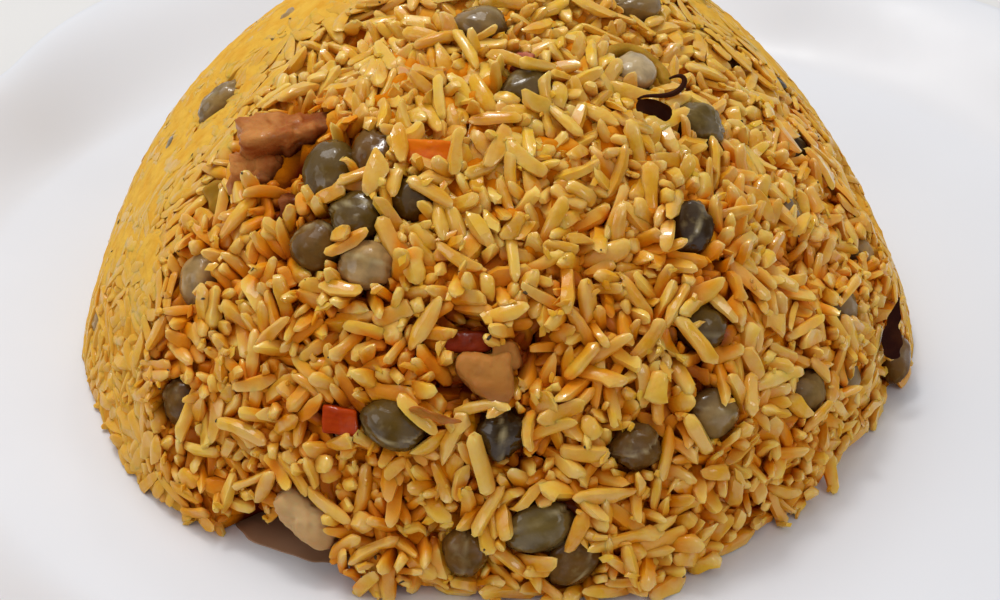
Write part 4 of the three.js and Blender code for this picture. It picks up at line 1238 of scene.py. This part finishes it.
onion_flesh = cut_flesh("onion_flesh", paint(168, 114, 40), paint(136, 82, 18), paint(110, 56, 6), 260, 0.2,
                        subsurface_weight=0.6, subsurface_scale=0.002)
onion = blade("onion_strip", "onion_thread", 0.9, 0.5, 0.9, 0.4, 4, thickness=0.7)
onion.data.materials.append(onion_flesh.material)

# Pepper and herb ----------------------------------------------------------------------------
# Flakes of black pepper and dried oregano that cling to the outermost grains.


def flake_points(count, random):
    """Flakes at random corners of the outermost grains, flattened against the heap's skin."""
    skins = np.concatenate(grain_skins)
    depth, normal = under_skin(skins)
    chosen = random.choice(np.flatnonzero(depth < 1.2), count, replace=False)
    size = random.uniform(0.1, 0.22, (count, 1, 1)) * random.choice([0.7, 1.0, 1.3], (count, 1, 1))
    return bits(skins[chosen], normal[chosen], size, random.uniform(0.8, 2.0, (count, 1, 1)), 0.5, random)


FLAKE_COUNT = 300
points = flake_points(FLAKE_COUNT, np.random.default_rng(33))
flakes = build_mesh("pepper_and_herb_flakes", points, ringed_faces(FLAKE_COUNT, BIT_RINGS, BIT_SIDES))
flake = Finish("dried_flake", roughness=0.6)
clouds = flake.span(flake.noise(150), 0.35, 0.65)
flake.feed("Base Color", flake.blend(clouds, paint(48, 28, 12), paint(92, 70, 24)))
flakes.data.materials.append(flake.material)
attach(flakes, "root")

# Table, light and camera --------------------------------------------------------------------
# A pale table top. A window and a smaller lamp light it from the far left, weak lamps from the wall
# at the left, from the far side and from the near right, and the room a little from all around.

floor_mesh = bpy.data.meshes.new("table_top")
table_corners = [(x, y, -0.0005) for x, y in ((-3, -3), (3, -3), (3, 3), (-3, 3))]
floor_mesh.from_pydata(table_corners, [], [(0, 1, 2, 3)])
floor = bpy.data.objects.new("table_top", floor_mesh)
bpy.context.scene.collection.objects.link(floor)
table = Finish("pale_table", base_color=paint(224, 222, 219), roughness=0.6)
floor_mesh.materials.append(table.material)


def soft_light(name, place, size, power, colour):
    """A square lamp at a place in metres, turned to face the heap."""
    lamp = bpy.data.lights.new(name, "AREA")
    lamp.shape = "SQUARE"
    lamp.size = size
    lamp.energy = power
    lamp.color = colour
    holder = bpy.data.objects.new(name, lamp)
    holder.location = place
    holder.rotation_euler = (Vector(place) - Vector((0, 0, 0.02))).to_track_quat("Z", "Y").to_euler()
    bpy.context.scene.collection.objects.link(holder)


soft_light("window", (-0.27, 0.26, 1.02), 0.7, 4.1, (1.0, 0.995, 0.985))
soft_light("lamp", (-0.22, 0.24, 0.95), 0.16, 1.9, (1.0, 0.99, 0.97))
soft_light("wall", (-0.95, -0.35, 0.5), 0.5, 1.2, (1.0, 0.98, 0.95))
soft_light("far_lamp", (0.2, 0.5, 0.8), 0.1, 0.3, (1.0, 0.97, 0.97))
soft_light("near_lamp", (0.5, -0.42, 0.55), 0.25, 0.55, (1.0, 0.98, 0.95))
world = bpy.data.worlds.new("room_light")
world.use_nodes = True
world.node_tree.nodes["Background"].inputs["Color"].default_value = (0.96, 0.97, 1.0, 1)
world.node_tree.nodes["Background"].inputs["Strength"].default_value = 0.5
bpy.context.scene.world = world
bpy.context.scene.view_settings.view_transform = "Standard"

CAMERA_DISTANCE = 300.0
CAMERA_HEIGHT_ANGLE = 35.5
TILT_UP, PAN_RIGHT = 1.2, 0.17
target = HEAP_MIDDLE + [0, -3.5, 0]
lift = np.radians(CAMERA_HEIGHT_ANGLE)
place = target + CAMERA_DISTANCE * np.array([0, -np.cos(lift), np.sin(lift)])
camera = bpy.data.cameras.new("diner_view")
camera.lens = 65.9
camera.sensor_width = 36.0
camera.clip_start = 0.01
holder = bpy.data.objects.new("diner_view", camera)
look = Matrix.Rotation(np.radians(90 - CAMERA_HEIGHT_ANGLE + TILT_UP), 4, "X")
look = look @ Matrix.Rotation(np.radians(-PAN_RIGHT), 4, "Y")
holder.matrix_world = Matrix.Translation(Vector(place * 0.001)) @ look
bpy.context.scene.collection.objects.link(holder)
bpy.context.scene.camera = holder
